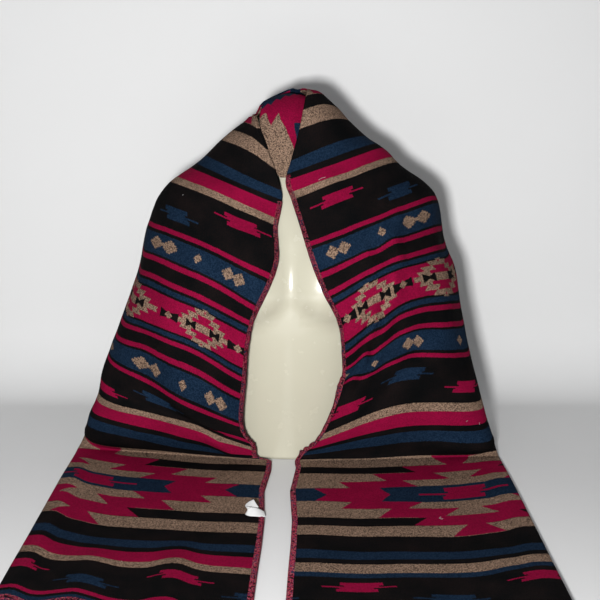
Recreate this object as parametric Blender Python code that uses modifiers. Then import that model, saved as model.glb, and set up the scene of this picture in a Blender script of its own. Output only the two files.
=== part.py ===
"""Woven shawl, folded lengthwise, over a limbless dress form with its two ends laid on the table.

Metres, +Z up, the table at z = 0, the viewer on the -Y side. Section tables are in millimetres.
"""
from collections import namedtuple

import bmesh
import bpy
import numpy as np
from mathutils import Vector
from mathutils.bvhtree import BVHTree

MM = 0.001

# The cloth: a rectangle folded once along its length, so every stretch is two layers thick.
FOLDED_WIDTH = 0.27
HALF_LENGTH = 1.102
DOUBLE_CLOTH = 0.0044
FOLD_SIDE = 0.6
FOLD_OUT = 0.8
EDGE_GROOVE = 0.0025
CLEARANCE = 0.0009
OVER_FORM = 0.0017
OVER_NECK_FOLD = 0.0018
CENTRE_GAP = 0.0005
BACK_ROUNDING = 0.22
BACK_LIFT = 0.6
NEAR_ENOUGH = 0.020
EDGE_REACH = 0.010
SETTLE_PASSES = 8
CREASE_FADE = 0.3
CREASE_START = 0.4
SEATED_ROWS = 3
UNDER_WAVE = 0.001

# How finely the stretches are divided.
FRONT_ROWS = 44
FRONT_COLUMNS = 16
END_ROWS = 18
END_COLUMNS = 10
NECK_ROWS = 20
NECK_COLUMNS = 10
FORM_SIDES = 36
CURVE_SAMPLES = 60

# Each row is one line across the cloth, at a distance "along" from the middle of the shawl.
# "tuck" is the width hidden in the folds at the throat. The four points run from the free edges
# at the front, over the panel and the side of the form, to the lengthwise fold behind.
Row = namedtuple("Row", "along tuck inner middle side fold")
LEFT_ROWS = [
    Row(0, 134, (0, 8, 479), (0, 46, 464), (0, 71, 426), (0, 88, 380)),
    Row(40, 112, (-25, -16, 475), (-33, 18, 468), (-32, 56, 440), (-23, 92, 376)),
    Row(80, 80, (-36, -48, 453), (-45, -18, 458), (-53, 20, 449), (-48, 91, 368)),
    Row(114, 40, (-21, -69, 387), (-45, -65, 405), (-87, -5, 417), (-70, 90, 355)),
    Row(144, 15, (-12, -75, 356), (-49, -71, 369), (-114, 0, 392), (-92, 88, 340)),
    Row(177, 0, (-12, -79, 338), (-81, -68, 362), (-134, 0, 376), (-118, 80, 330)),
    Row(222, 0, (-18, -86, 308), (-96, -80, 341), (-164, 0, 356), (-150, 66, 318)),
    Row(292, 0, (-25, -104, 251), (-94, -110, 288), (-194, 0, 304), (-197, 36, 292)),
    Row(358, 0, (-47, -121, 196), (-115, -136, 234), (-208, -20, 238), (-211, 12, 230)),
    Row(398, 0, (-54, -124, 158), (-121, -139, 193), (-220, -28, 200), (-222, 3, 194)),
    Row(438, 0, (-57, -122, 123), (-138, -137, 164), (-231, -36, 167), (-232, -8, 162)),
    Row(505, 0, (-62, -113, 55), (-141, -124, 85), (-249, -50, 119), (-251, -14, 112)),
    Row(575, 0, (-47, -107, 24), (-143, -118, 62), (-261, -60, 74), (-262, -37, 68)),
    Row(620, 0, (-46, -103, 11), (-148, -106, 36), (-273, -64, 48), (-274, -44, 44)),
    Row(660, 0, (-44, -99, 5), (-158, -84, 6), (-284, -52, 8), (-285, -36, 8)),
]
RIGHT_ROWS = [
    Row(0, 134, (0, 8, 479), (0, 46, 464), (0, 71, 426), (0, 88, 380)),
    Row(40, 112, (18, -16, 481), (33, 16, 475), (36, 56, 442), (23, 92, 376)),
    Row(80, 80, (21, -46, 470), (38, -26, 472), (57, 12, 458), (48, 91, 368)),
    Row(114, 40, (13, -63, 434), (40, -53, 442), (75, -4, 440), (70, 90, 358)),
    Row(144, 15, (2, -72, 396), (46, -62, 413), (98, 0, 419), (92, 89, 345)),
    Row(177, 0, (-5, -78, 370), (56, -67, 388), (123, 0, 402), (121, 76, 345)),
    Row(222, 0, (2, -84, 346), (63, -78, 368), (143, 0, 382), (152, 64, 330)),
    Row(292, 0, (21, -101, 290), (93, -104, 319), (195, 0, 339), (200, 30, 318)),
    Row(358, 0, (42, -119, 233), (117, -131, 269), (208, -20, 275), (211, 10, 267)),
    Row(398, 0, (60, -124, 195), (131, -137, 242), (221, -28, 240), (223, 2, 236)),
    Row(438, 0, (66, -122, 147), (134, -137, 200), (228, -36, 198), (228, -4, 190)),
    Row(505, 0, (61, -116, 102), (142, -127, 142), (240, -50, 134), (241, -10, 128)),
    Row(575, 0, (34, -107, 33), (137, -118, 79), (256, -62, 72), (257, -42, 68)),
    Row(620, 0, (16, -102, 15), (138, -112, 46), (264, -74, 42), (265, -58, 40)),
    Row(660, 0, (8, -98, 6), (139, -97, 10), (273, -96, 9), (275, -80, 9)),
]

# Soft troughs (depth > 0) and ridges (depth < 0) in the hanging stretches: each runs from one place
# on the cloth to another, given as distance across from the free edge and distance along.
Crease = namedtuple("Crease", "across_0 along_0 across_1 along_1 width depth")
LEFT_CREASES = [
    Crease(90, 85, 45, 170, 9, -3),
    Crease(175, 430, 70, 590, 26, 5),
    Crease(120, 415, 40, 560, 24, -5),
    Crease(215, 500, 150, 640, 26, -5),
    Crease(240, 250, 225, 420, 22, 3),
]
RIGHT_CREASES = [
    Crease(150, 380, 20, 505, 16, 8),
    Crease(120, 430, 45, 560, 17, 6),
    Crease(95, 330, 10, 440, 18, -5),
    Crease(225, 300, 205, 520, 26, 4),
    Crease(60, 150, 105, 300, 20, 3),
]

# The ends on the table: where each starts, where the middle of the great diamond band crosses it,
# and the long low waves in it, all in millimetres.
End = namedtuple("End", "inner_x outer_x start_inner start_outer band_inner band_outer waves")
Wave = namedtuple("Wave", "across width height from_y")
BAND_ALONG = 797
LEFT_END = End(-33, -287, -94, -46, -207, -165, [
    Wave(105, 24, 8, -330),
    Wave(195, 26, 9, -310),
    Wave(258, 13, 6, -60),
])
RIGHT_END = End(1, 274, -94, -74, -215, -196, [
    Wave(235, 26, 6, -330),
    Wave(120, 30, 4, -400),
    Wave(262, 13, 5, -60),
])
EDGE_DRIFT = [(-94, 5), (-130, 7), (-204, 0), (-286, 3), (-349, 2), (-406, 0), (-520, -3)]
WAVE_RISE = 0.12

# The tucked middle of the shawl that shows at the neck: height, depth, middle and half width.
NeckRow = namedtuple("NeckRow", "height depth middle half_width")
NECK_SECTIONS = [
    NeckRow(371, -67, -4, 5),
    NeckRow(388, -66, -5, 13),
    NeckRow(408, -61, -6, 21),
    NeckRow(430, -56, -6, 27),
    NeckRow(452, -46, -6, 32),
    NeckRow(468, -26, -4, 33),
    NeckRow(474, -6, -2, 31),
    NeckRow(472, 12, 0, 26),
    NeckRow(467, 24, 0, 20),
]
NECK_RADIUS = 0.050

# The dress form: flat base, waist, chest, shoulder caps and a domed neck stub.
FormRing = namedtuple("FormRing", "height half_width front back")
FORM_RINGS = [
    FormRing(0, 119, 88, 78),
    FormRing(2, 122, 90, 80),
    FormRing(60, 128, 95, 84),
    FormRing(120, 141, 101, 90),
    FormRing(180, 158, 106, 95),
    FormRing(225, 170, 107, 97),
    FormRing(262, 177, 101, 95),
    FormRing(290, 177, 93, 90),
    FormRing(310, 169, 84, 84),
    FormRing(328, 153, 75, 77),
    FormRing(344, 128, 67, 70),
    FormRing(358, 98, 60, 65),
    FormRing(371, 72, 55, 61),
    FormRing(390, 57, 51, 57),
    FormRing(412, 49, 47, 52),
    FormRing(432, 45, 44, 48),
    FormRing(447, 40, 39, 43),
    FormRing(457, 33, 32, 36),
    FormRing(463, 24, 23, 27),
    FormRing(466, 12, 11, 14),
]
CHEST_DEPTH = 0.022
CHEST_SPREAD = 0.082
CHEST_HEIGHT = 0.222
CHEST_REACH = 0.046

# A small blank care ribbon, folded over itself at the free edge of the left end.
LABEL_WIDTH = 0.011
LABEL_THICKNESS = 0.0007
LABEL_EDGE_Y = -0.247
LABEL_SLANT = 0.15
LABEL_PATH = [(-31, 5.2), (-38, 5.3), (-46, 6.2), (-52, 8.6), (-55, 12.0), (-53, 14.6), (-48, 14.2)]

CRIMSON = (0.30, 0.008, 0.045, 1.0)
NAVY = (0.012, 0.034, 0.085, 1.0)
CREAM = (0.78, 0.74, 0.62, 1.0)
WHITE = (0.80, 0.80, 0.78, 1.0)


def smooth(knots, values, at):
    """Cubic curve through values at knots, read at the given places."""
    knots = np.asarray(knots, dtype=float)
    values = np.asarray(values, dtype=float)
    at = np.asarray(at, dtype=float)
    slopes = np.gradient(values, knots, axis=0)
    low = np.clip(np.searchsorted(knots, at, side="right") - 1, 0, len(knots) - 2)
    span = knots[low + 1] - knots[low]
    t = (at - knots[low]) / span
    if values.ndim > 1:
        span = span[:, None]
        t = t[:, None]
    return ((2 * t**3 - 3 * t**2 + 1) * values[low] + (t**3 - 2 * t**2 + t) * span * slopes[low]
            + (3 * t**2 - 2 * t**3) * values[low + 1] + (t**3 - t**2) * span * slopes[low + 1])


def evenly_across(points, count):
    """Resample one line across the cloth to count + 1 evenly spaced points."""
    chord = np.linalg.norm(np.diff(points, axis=0), axis=1)
    knots = np.concatenate([[0.0], np.cumsum(chord)])
    fine = smooth(knots, points, np.linspace(0.0, knots[-1], CURVE_SAMPLES))
    run = np.concatenate([[0.0], np.cumsum(np.linalg.norm(np.diff(fine, axis=0), axis=1))])
    wanted = np.linspace(0.0, run[-1], count + 1)
    return np.stack([np.interp(wanted, run, fine[:, axis]) for axis in range(3)], axis=1)


def round_the_back(placed):
    """Add a point between the side and the fold of each line, where the cloth rounds the back."""
    side, fold = placed[:, 2], placed[:, 3]
    bulge = BACK_ROUNDING * np.linalg.norm(fold - side, axis=1)
    back = (side + fold) / 2
    back[:, 1] += bulge
    back[:, 2] += BACK_LIFT * bulge
    return np.insert(placed, 3, back, axis=1)


def grid_normals(grid):
    """Unit normals of a grid of points, from its rows and columns."""
    normals = np.cross(np.gradient(grid, axis=0), np.gradient(grid, axis=1))
    return normals / np.linalg.norm(normals, axis=2, keepdims=True)


def facing(grid, side):
    """Normals turned away from the form on the left (side -1) or the right (side 1)."""
    return grid_normals(grid) * side


def crease_depth(across, along, creases):
    """How far each place on the cloth is pushed in by the soft creases."""
    depth = np.zeros_like(across)
    for crease in creases:
        start = np.array([crease.across_0, crease.along_0]) * MM
        line = np.array([crease.across_1, crease.along_1]) * MM - start
        length = np.linalg.norm(line)
        line = line / length
        run = (across - start[0]) * line[0] + (along - start[1]) * line[1]
        off = (across - start[0]) * line[1] - (along - start[1]) * line[0]
        fade = np.clip(np.minimum(run, length - run) / (CREASE_FADE * length) + CREASE_START, 0.0, 1.0)
        fade = fade * fade * (3 - 2 * fade)
        depth += crease.depth * MM * fade * np.exp(-(off / (crease.width * MM))**2)
    return depth


def push_clear(grid, obstacles, depth):
    """Move points out until each lies its clearance and the given depth outside every obstacle."""
    moved = grid.copy()
    for tree, clearance in obstacles:
        distance = clearance + depth
        for index in np.ndindex(grid.shape[:2]):
            point = Vector(moved[index])
            place, normal, _, _ = tree.find_nearest(point)
            offset = point - place
            outside = offset.dot(normal)
            aside = (offset - outside * normal).length
            if -NEAR_ENOUGH < outside < distance and aside < EDGE_REACH:
                moved[index] = point + normal * (distance - outside) * (1 - aside / EDGE_REACH)
    return moved


def settle(grid, obstacles, depth):
    """Lay the cloth over what is under it: spread each push over its neighbours, then clear it."""
    for _ in range(SETTLE_PASSES):
        shift = push_clear(grid, obstacles, depth) - grid
        padded = np.pad(shift, ((1, 1), (1, 1), (0, 0)), mode="edge")
        rows, columns = grid.shape[:2]
        spread = sum(padded[i:i + rows, j:j + columns] for i in range(3) for j in range(3)) / 9
        grid = grid + spread
    return push_clear(grid, obstacles, depth)


def make_mesh(name, points, faces):
    """One mesh object from computed points and faces, its faces turned outward."""
    mesh = bpy.data.meshes.new(name)
    mesh.from_pydata([tuple(point) for point in points], [], faces)
    shape = bmesh.new()
    shape.from_mesh(mesh)
    bmesh.ops.recalc_face_normals(shape, faces=shape.faces)
    bmesh.ops.triangulate(shape, faces=shape.faces)
    shape.to_mesh(mesh)
    shape.free()
    mesh.shade_smooth()
    return bpy.data.objects.new(name, mesh)


def cloth_wall(name, outer, inner):
    """A doubled cloth: round at the lengthwise fold, grooved where its two layers show at an edge."""
    rows, columns = outer.shape[:2]
    half = (outer - inner) / 2
    outward = outer[:, -1] - outer[:, -2]
    outward /= np.linalg.norm(outward, axis=1, keepdims=True)
    bulge = outward * np.linalg.norm(half[:, -1], axis=1, keepdims=True)
    centre = (outer + inner) / 2
    inward = centre[:, 1] - centre[:, 0]
    inward /= np.linalg.norm(inward, axis=1, keepdims=True)
    rings = []
    for row in range(rows):
        ring = list(outer[row])
        ring.append(centre[row, -1] + FOLD_SIDE * half[row, -1] + FOLD_OUT * bulge[row])
        ring.append(centre[row, -1] - FOLD_SIDE * half[row, -1] + FOLD_OUT * bulge[row])
        ring += list(inner[row][::-1])
        ring.append(centre[row, 0] + inward[row] * EDGE_GROOVE)
        rings.append(ring)
    around = len(rings[0])
    points = [point for ring in rings for point in ring]
    faces = []
    for row in range(rows - 1):
        for k in range(around):
            after = (k + 1) % around
            faces.append((row * around + k, row * around + after,
                          (row + 1) * around + after, (row + 1) * around + k))
    for row, beside in ((0, 1), (rows - 1, rows - 2)):
        step = centre[beside] - centre[row]
        step /= np.linalg.norm(step, axis=1, keepdims=True)
        groove = centre[row] + step * EDGE_GROOVE
        groove[0] += inward[row] * 2 * EDGE_GROOVE
        first = len(points)
        points += list(groove)
        base = row * around
        for k in range(columns - 1):
            faces.append((base + k, base + k + 1, first + k + 1, first + k))
            faces.append((first + k, first + k + 1, base + around - 3 - k, base + around - 2 - k))
        last = first + columns - 1
        faces.append((base + columns - 1, base + columns, last))
        faces.append((base + columns, base + columns + 1, last))
        faces.append((base + columns + 1, base + columns + 2, last))
        faces.append((base, first, base + around - 1))
        faces.append((base + around - 1, first, base + around - 2))
    return make_mesh(name, points, faces)


def tree_of(thing):
    """Search tree over an object's faces, for clearances."""
    shape = bmesh.new()
    shape.from_mesh(thing.data)
    tree = BVHTree.FromBMesh(shape)
    shape.free()
    return tree


def sheet_tree(grid):
    """Search tree over a grid of points that runs left to right and from its foot upward."""
    rows, columns = grid.shape[:2]
    faces = [(r * columns + c, r * columns + c + 1, (r + 1) * columns + c + 1, (r + 1) * columns + c)
             for r in range(rows - 1) for c in range(columns - 1)]
    return BVHTree.FromPolygons([Vector(point) for point in grid.reshape(-1, 3)], faces)


def dress_form():
    """The limbless form: smooth rings from a flat base to a domed neck stub."""
    turn = np.linspace(0.0, 2 * np.pi, FORM_SIDES, endpoint=False)
    rings = []
    for ring in FORM_RINGS:
        height = ring.height * MM
        x = ring.half_width * MM * np.cos(turn)
        depth = np.where(np.sin(turn) < 0, ring.front, ring.back) * MM
        y = depth * np.sin(turn)
        mounds = np.exp(-((np.abs(x) - CHEST_SPREAD) / CHEST_REACH)**2
                        - ((height - CHEST_HEIGHT) / CHEST_REACH)**2)
        y -= np.where(np.sin(turn) < 0, -np.sin(turn), 0.0) * CHEST_DEPTH * mounds
        rings.append(np.stack([x, y, np.full(FORM_SIDES, height)], axis=1))
    points = [point for ring in rings for point in ring]
    faces = []
    for level in range(len(rings) - 1):
        for k in range(FORM_SIDES):
            after = (k + 1) % FORM_SIDES
            faces.append((level * FORM_SIDES + k, level * FORM_SIDES + after,
                          (level + 1) * FORM_SIDES + after, (level + 1) * FORM_SIDES + k))
    faces.append(tuple(range(FORM_SIDES)))
    faces.append(tuple(range(len(points) - FORM_SIDES, len(points))))
    return make_mesh("dress_form", points, faces)


def neck_fold(form_tree):
    """The tucked middle of the shawl over the neck stub, and a search tree of its outer side."""
    table = np.array([(row.height, row.depth, row.middle, row.half_width)
                      for row in NECK_SECTIONS], dtype=float) * MM
    place = smooth(np.arange(len(table)), table, np.linspace(0, len(table) - 1, NECK_ROWS))
    across = np.linspace(-1.0, 1.0, NECK_COLUMNS + 1)
    grid = np.zeros((NECK_ROWS, NECK_COLUMNS + 1, 3))
    for row, (height, depth, middle, half_width) in enumerate(place):
        offset = across * half_width
        set_back = offset**2 / (2 * NECK_RADIUS)
        grid[row, :, 0] = middle + offset
        grid[row, :, 1] = depth + set_back * np.clip(-depth / NECK_RADIUS, 0.0, 1.0)
        grid[row, :, 2] = height - set_back * np.clip(1 + depth / NECK_RADIUS, 0.0, 1.0)
    grid = settle(grid, [(form_tree, CLEARANCE)], DOUBLE_CLOTH)
    normals = -grid_normals(grid)
    return cloth_wall("neck_fold", grid, grid - normals * DOUBLE_CLOTH), sheet_tree(grid)


def front_stretch(name, rows, creases, side, obstacles):
    """One side of the shawl, from the middle of the back, over the shoulder, down to the table."""
    along = np.array([row.along for row in rows]) * MM
    wanted = np.linspace(0.0, along[-1], FRONT_ROWS + 1)
    corners = np.array([[row.inner, row.middle, row.side, row.fold] for row in rows]) * MM
    tuck = smooth(along, np.array([row.tuck for row in rows]) * MM, wanted)
    placed = np.stack([smooth(along, corners[:, k], wanted) for k in range(4)], axis=1)
    placed = round_the_back(placed)
    grid = np.stack([evenly_across(points, FRONT_COLUMNS) for points in placed])
    share = np.linspace(0.0, 1.0, FRONT_COLUMNS + 1)
    across = tuck[:, None] + (FOLDED_WIDTH - tuck[:, None]) * share
    depth = crease_depth(across, np.repeat(wanted[:, None], FRONT_COLUMNS + 1, axis=1), creases)
    grid = grid - facing(grid, side) * depth[..., None]
    grid[0, :, 0] = side * CENTRE_GAP / 2
    grid = settle(grid, obstacles, DOUBLE_CLOTH)
    grid[..., 2] = np.maximum(grid[..., 2], DOUBLE_CLOTH + CLEARANCE)
    inner = grid - facing(grid, side) * DOUBLE_CLOTH
    inner = push_clear(inner, obstacles, 0.0)
    inner[..., 2] = np.maximum(inner[..., 2], DOUBLE_CLOTH + CLEARANCE)
    grid[0, :, 0] = side * CENTRE_GAP / 2
    inner[0, :, 0] = side * CENTRE_GAP / 2
    return cloth_wall(name, grid, inner)


def end_stretch(name, end, side):
    """One end of the shawl, lying on the table with a flat underside and a few long low waves."""
    share = np.linspace(0.0, 1.0, END_COLUMNS + 1)
    start = (end.start_inner + (end.start_outer - end.start_inner) * share) * MM
    band = (end.band_inner + (end.band_outer - end.band_inner) * share) * MM
    hem = band - (HALF_LENGTH - BAND_ALONG * MM)
    down = np.linspace(0.0, 1.0, END_ROWS + 1)[:, None]
    y = start + (hem - start) * down
    drift_y, drift_x = np.array(EDGE_DRIFT[::-1], dtype=float).T * MM
    drift = np.interp(y, drift_y, drift_x) * (1 - share)
    x = (end.inner_x + (end.outer_x - end.inner_x) * share) * MM + drift
    lift = np.zeros_like(y)
    for wave in end.waves:
        rise = np.clip((wave.from_y * MM - y) / WAVE_RISE, 0.0, 1.0)
        profile = np.exp(-((share * FOLDED_WIDTH - wave.across * MM) / (wave.width * MM))**2)
        lift += wave.height * MM * rise**2 * (3 - 2 * rise) * profile
    lift[:SEATED_ROWS] = 0.0
    outer = np.stack([x, y, DOUBLE_CLOTH + lift], axis=2)
    inner = np.stack([x, y, np.maximum(lift - UNDER_WAVE, 0.0)], axis=2)
    return cloth_wall(name, outer, inner)


def care_label():
    """A blank folded ribbon caught at the free edge of the left end."""
    path = np.array([(x, z) for x, z in LABEL_PATH]) * MM
    knots = np.arange(len(path))
    line = smooth(knots, path, np.linspace(0, len(path) - 1, 4 * len(path) - 3))
    grid = np.zeros((len(line), 3, 3))
    for row, (x, z) in enumerate(line):
        middle = LABEL_EDGE_Y - LABEL_SLANT * (x - line[0, 0])
        for column, share in enumerate((-0.5, 0.0, 0.5)):
            grid[row, column] = (x, middle + share * LABEL_WIDTH, z)
    mesh = bpy.data.meshes.new("care_label")
    columns = grid.shape[1]
    faces = [(r * columns + c, r * columns + c + 1, (r + 1) * columns + c + 1, (r + 1) * columns + c)
             for r in range(len(line) - 1) for c in range(columns - 1)]
    mesh.from_pydata([tuple(point) for point in grid.reshape(-1, 3)], [], faces)
    ribbon = bpy.data.objects.new("care_label", mesh)
    thickness = ribbon.modifiers.new("thickness", "SOLIDIFY")
    thickness.thickness = LABEL_THICKNESS
    thickness.offset = 0.0
    return ribbon


def finish(thing, colour, roughness, parent, collection):
    """Give a piece its material and its place in the collection, under the parent."""
    material = bpy.data.materials.new(thing.name)
    material.use_nodes = True
    shader = material.node_tree.nodes["Principled BSDF"]
    shader.inputs["Base Color"].default_value = colour
    shader.inputs["Roughness"].default_value = roughness
    shader.inputs["Metallic"].default_value = 0.0
    thing.data.materials.append(material)
    collection.objects.link(thing)
    thing.parent = parent


def main():
    """Build the form, the five stretches of the shawl and its ribbon."""
    for thing in list(bpy.data.objects):
        bpy.data.objects.remove(thing)
    collection = bpy.data.collections.new("shawl_on_dress_form")
    bpy.context.scene.collection.children.link(collection)
    stand = bpy.data.objects.new("shawl_on_dress_form", None)
    collection.objects.link(stand)

    form = dress_form()
    neck, neck_tree = neck_fold(tree_of(form))
    obstacles = [(tree_of(form), OVER_FORM), (neck_tree, OVER_NECK_FOLD)]
    finish(form, CREAM, 0.25, stand, collection)
    finish(neck, CRIMSON, 0.95, stand, collection)
    finish(front_stretch("left_front", LEFT_ROWS, LEFT_CREASES, -1, obstacles),
           CRIMSON, 0.95, stand, collection)
    finish(front_stretch("right_front", RIGHT_ROWS, RIGHT_CREASES, 1, obstacles),
           NAVY, 0.95, stand, collection)
    finish(end_stretch("left_end", LEFT_END, -1), NAVY, 0.95, stand, collection)
    finish(end_stretch("right_end", RIGHT_END, 1), CRIMSON, 0.95, stand, collection)
    finish(care_label(), WHITE, 0.7, stand, collection)


main()
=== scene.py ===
"""Looks for the woven striped shawl laid over a limbless dress form, both ends forward on the table."""
import logging
import math
from dataclasses import dataclass, field
from enum import Enum
from typing import NamedTuple, Sequence

import bpy
import numpy as np
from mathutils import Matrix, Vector, noise
from mathutils.bvhtree import BVHTree


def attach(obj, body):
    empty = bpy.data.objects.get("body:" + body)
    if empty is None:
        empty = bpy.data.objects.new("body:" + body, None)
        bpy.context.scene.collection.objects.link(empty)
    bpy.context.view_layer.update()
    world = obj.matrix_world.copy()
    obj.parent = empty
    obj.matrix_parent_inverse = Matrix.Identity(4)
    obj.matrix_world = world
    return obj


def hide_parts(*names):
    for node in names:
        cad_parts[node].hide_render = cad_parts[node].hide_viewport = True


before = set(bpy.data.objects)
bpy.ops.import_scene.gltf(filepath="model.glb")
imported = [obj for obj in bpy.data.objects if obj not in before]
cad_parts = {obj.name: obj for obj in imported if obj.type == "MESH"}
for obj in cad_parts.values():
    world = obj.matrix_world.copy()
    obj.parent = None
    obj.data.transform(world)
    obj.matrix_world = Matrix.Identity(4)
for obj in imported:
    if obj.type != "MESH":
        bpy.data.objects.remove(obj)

log = logging.getLogger("shawl")

Colour = tuple[float, float, float, float]
Grid = np.ndarray
MM = 0.001
ROOT = "root"
SUNK_REACH = 0.020
ASIDE_REACH = 0.010
SETTLE_PASSES = 8
BACK_ROUNDING = 0.22
BACK_LIFT = 0.6
CREASE_FADE = 0.3
CREASE_START = 0.4
WAVE_RISE = 0.12
FLOOR_CLEARANCE = 0.0003
FORM_CLEARANCE = 0.0017
TUCK_CLEARANCE = 0.0018
CURVE_SAMPLES = 60
TUBE_SIDES = 5


# Small geometry tools.

def smooth(knots: Grid, values: Grid, at: Grid) -> Grid:
    """Read a cubic curve through values at knots.

    Args:
        knots: rising places along the curve.
        values: one number or one row of numbers for each knot.
        at: the places to read.

    Returns:
        The values at those places.
    """
    knots = np.asarray(knots, dtype=float)
    values = np.asarray(values, dtype=float)
    at = np.asarray(at, dtype=float)
    slopes = np.gradient(values, knots, axis=0)
    low = np.clip(np.searchsorted(knots, at, side="right") - 1, 0, len(knots) - 2)
    span = knots[low + 1] - knots[low]
    t = (at - knots[low]) / span
    shape = (len(at),) + (1,) * (values.ndim - 1)
    span = span.reshape(shape)
    t = t.reshape(shape)
    return ((2 * t**3 - 3 * t**2 + 1) * values[low] + (t**3 - 2 * t**2 + t) * span * slopes[low]
            + (3 * t**2 - 2 * t**3) * values[low + 1] + (t**3 - t**2) * span * slopes[low + 1])


def evenly_across(points: Grid, count: int) -> Grid:
    """Resample one line across the cloth.

    Args:
        points: the places that the line passes.
        count: how many steps the result has.

    Returns:
        count + 1 evenly spaced points.
    """
    chord = np.linalg.norm(np.diff(points, axis=0), axis=1)
    knots = np.concatenate([[0.0], np.cumsum(chord)])
    fine = smooth(knots, points, np.linspace(0.0, knots[-1], CURVE_SAMPLES))
    run = np.concatenate([[0.0], np.cumsum(np.linalg.norm(np.diff(fine, axis=0), axis=1))])
    wanted = np.linspace(0.0, run[-1], count + 1)
    return np.stack([np.interp(wanted, run, fine[:, axis]) for axis in range(3)], axis=1)


def unit(vectors: Grid) -> Grid:
    """Vectors scaled to length 1 along their last axis."""
    return vectors / np.maximum(np.linalg.norm(vectors, axis=-1, keepdims=True), 1e-9)


def grid_normals(grid: Grid) -> Grid:
    """Unit normals of a grid of points, from its rows and columns."""
    return unit(np.cross(np.gradient(grid, axis=0), np.gradient(grid, axis=1)))


def refine(grid: Grid, rows: Grid, columns: int) -> Grid:
    """Read a coarse grid more finely with cubic curves both ways.

    Args:
        grid: coarse grid of points.
        rows: where each new row lies, counted in coarse rows.
        columns: how many columns the result has.

    Returns:
        The fine grid.
    """
    tall = smooth(np.arange(len(grid)), grid, rows)
    wide = smooth(np.arange(grid.shape[1]), np.swapaxes(tall, 0, 1),
                  np.linspace(0, grid.shape[1] - 1, columns))
    return np.swapaxes(wide, 0, 1)


def push_clear(grid: Grid, obstacles: Sequence[tuple[BVHTree, float]], depth: float) -> Grid:
    """Move points out until each lies clear of what is under the cloth.

    Args:
        grid: points of the cloth.
        obstacles: search trees, each with its clearance.
        depth: thickness of cloth under the points.

    Returns:
        The moved points.
    """
    moved = grid.copy()
    for tree, clearance in obstacles:
        distance = clearance + depth
        for index in np.ndindex(grid.shape[:2]):
            point = Vector(moved[index])
            place, normal, _, _ = tree.find_nearest(point)
            offset = point - place
            outside = offset.dot(normal)
            aside = (offset - outside * normal).length
            if -SUNK_REACH < outside < distance and aside < ASIDE_REACH:
                moved[index] = point + normal * (distance - outside) * (1 - aside / ASIDE_REACH)
    return moved


def settle(grid: Grid, obstacles: Sequence[tuple[BVHTree, float]], depth: float) -> Grid:
    """Lay the cloth over what is under it, spreading each push over its neighbours.

    Args:
        grid: points of the cloth.
        obstacles: search trees, each with its clearance.
        depth: thickness of cloth under the points.

    Returns:
        The settled points.
    """
    for _ in range(SETTLE_PASSES):
        shift = push_clear(grid, obstacles, depth) - grid
        padded = np.pad(shift, ((1, 1), (1, 1), (0, 0)), mode="edge")
        rows, columns = grid.shape[:2]
        grid = grid + sum(padded[i:i + rows, j:j + columns] for i in range(3) for j in range(3)) / 9
    return push_clear(grid, obstacles, depth)


def grid_faces(rows: int, columns: int, closed: bool = False) -> list[tuple[int, ...]]:
    """Quads of a grid of vertices.

    Args:
        rows: how many rows the grid has.
        columns: how many vertices each row has.
        closed: whether each row is a ring.

    Returns:
        The faces as vertex numbers.
    """
    last = columns if closed else columns - 1
    return [(r * columns + c, r * columns + (c + 1) % columns,
             (r + 1) * columns + (c + 1) % columns, (r + 1) * columns + c)
            for r in range(rows - 1) for c in range(last)]


def make_object(name: str, points: Grid, faces: list[tuple[int, ...]],
                places: Grid | None = None) -> bpy.types.Object:
    """Make a smooth-shaded mesh object.

    Args:
        name: the object's name.
        points: its vertices.
        faces: its faces as vertex numbers.
        places: a place on the cloth for each vertex, kept as its UV map.

    Returns:
        The object, linked to the scene.
    """
    mesh = bpy.data.meshes.new(name)
    mesh.from_pydata(np.asarray(points).reshape(-1, 3).tolist(), [], faces)
    if places is not None:
        corners = np.zeros(len(mesh.loops), dtype=np.int32)
        mesh.loops.foreach_get("vertex_index", corners)
        layer = mesh.uv_layers.new(name="cloth_place")
        layer.data.foreach_set("uv", np.asarray(places)[corners].astype(np.float32).ravel())
    mesh.shade_smooth()
    thing = bpy.data.objects.new(name, mesh)
    bpy.context.scene.collection.objects.link(thing)
    return thing


def tree_of(points: Grid, faces: list[tuple[int, ...]]) -> BVHTree:
    """Search tree over points and faces, for clearances."""
    return BVHTree.FromPolygons([Vector(point) for point in points.reshape(-1, 3)], faces)


# Arithmetic in shader nodes.

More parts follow.
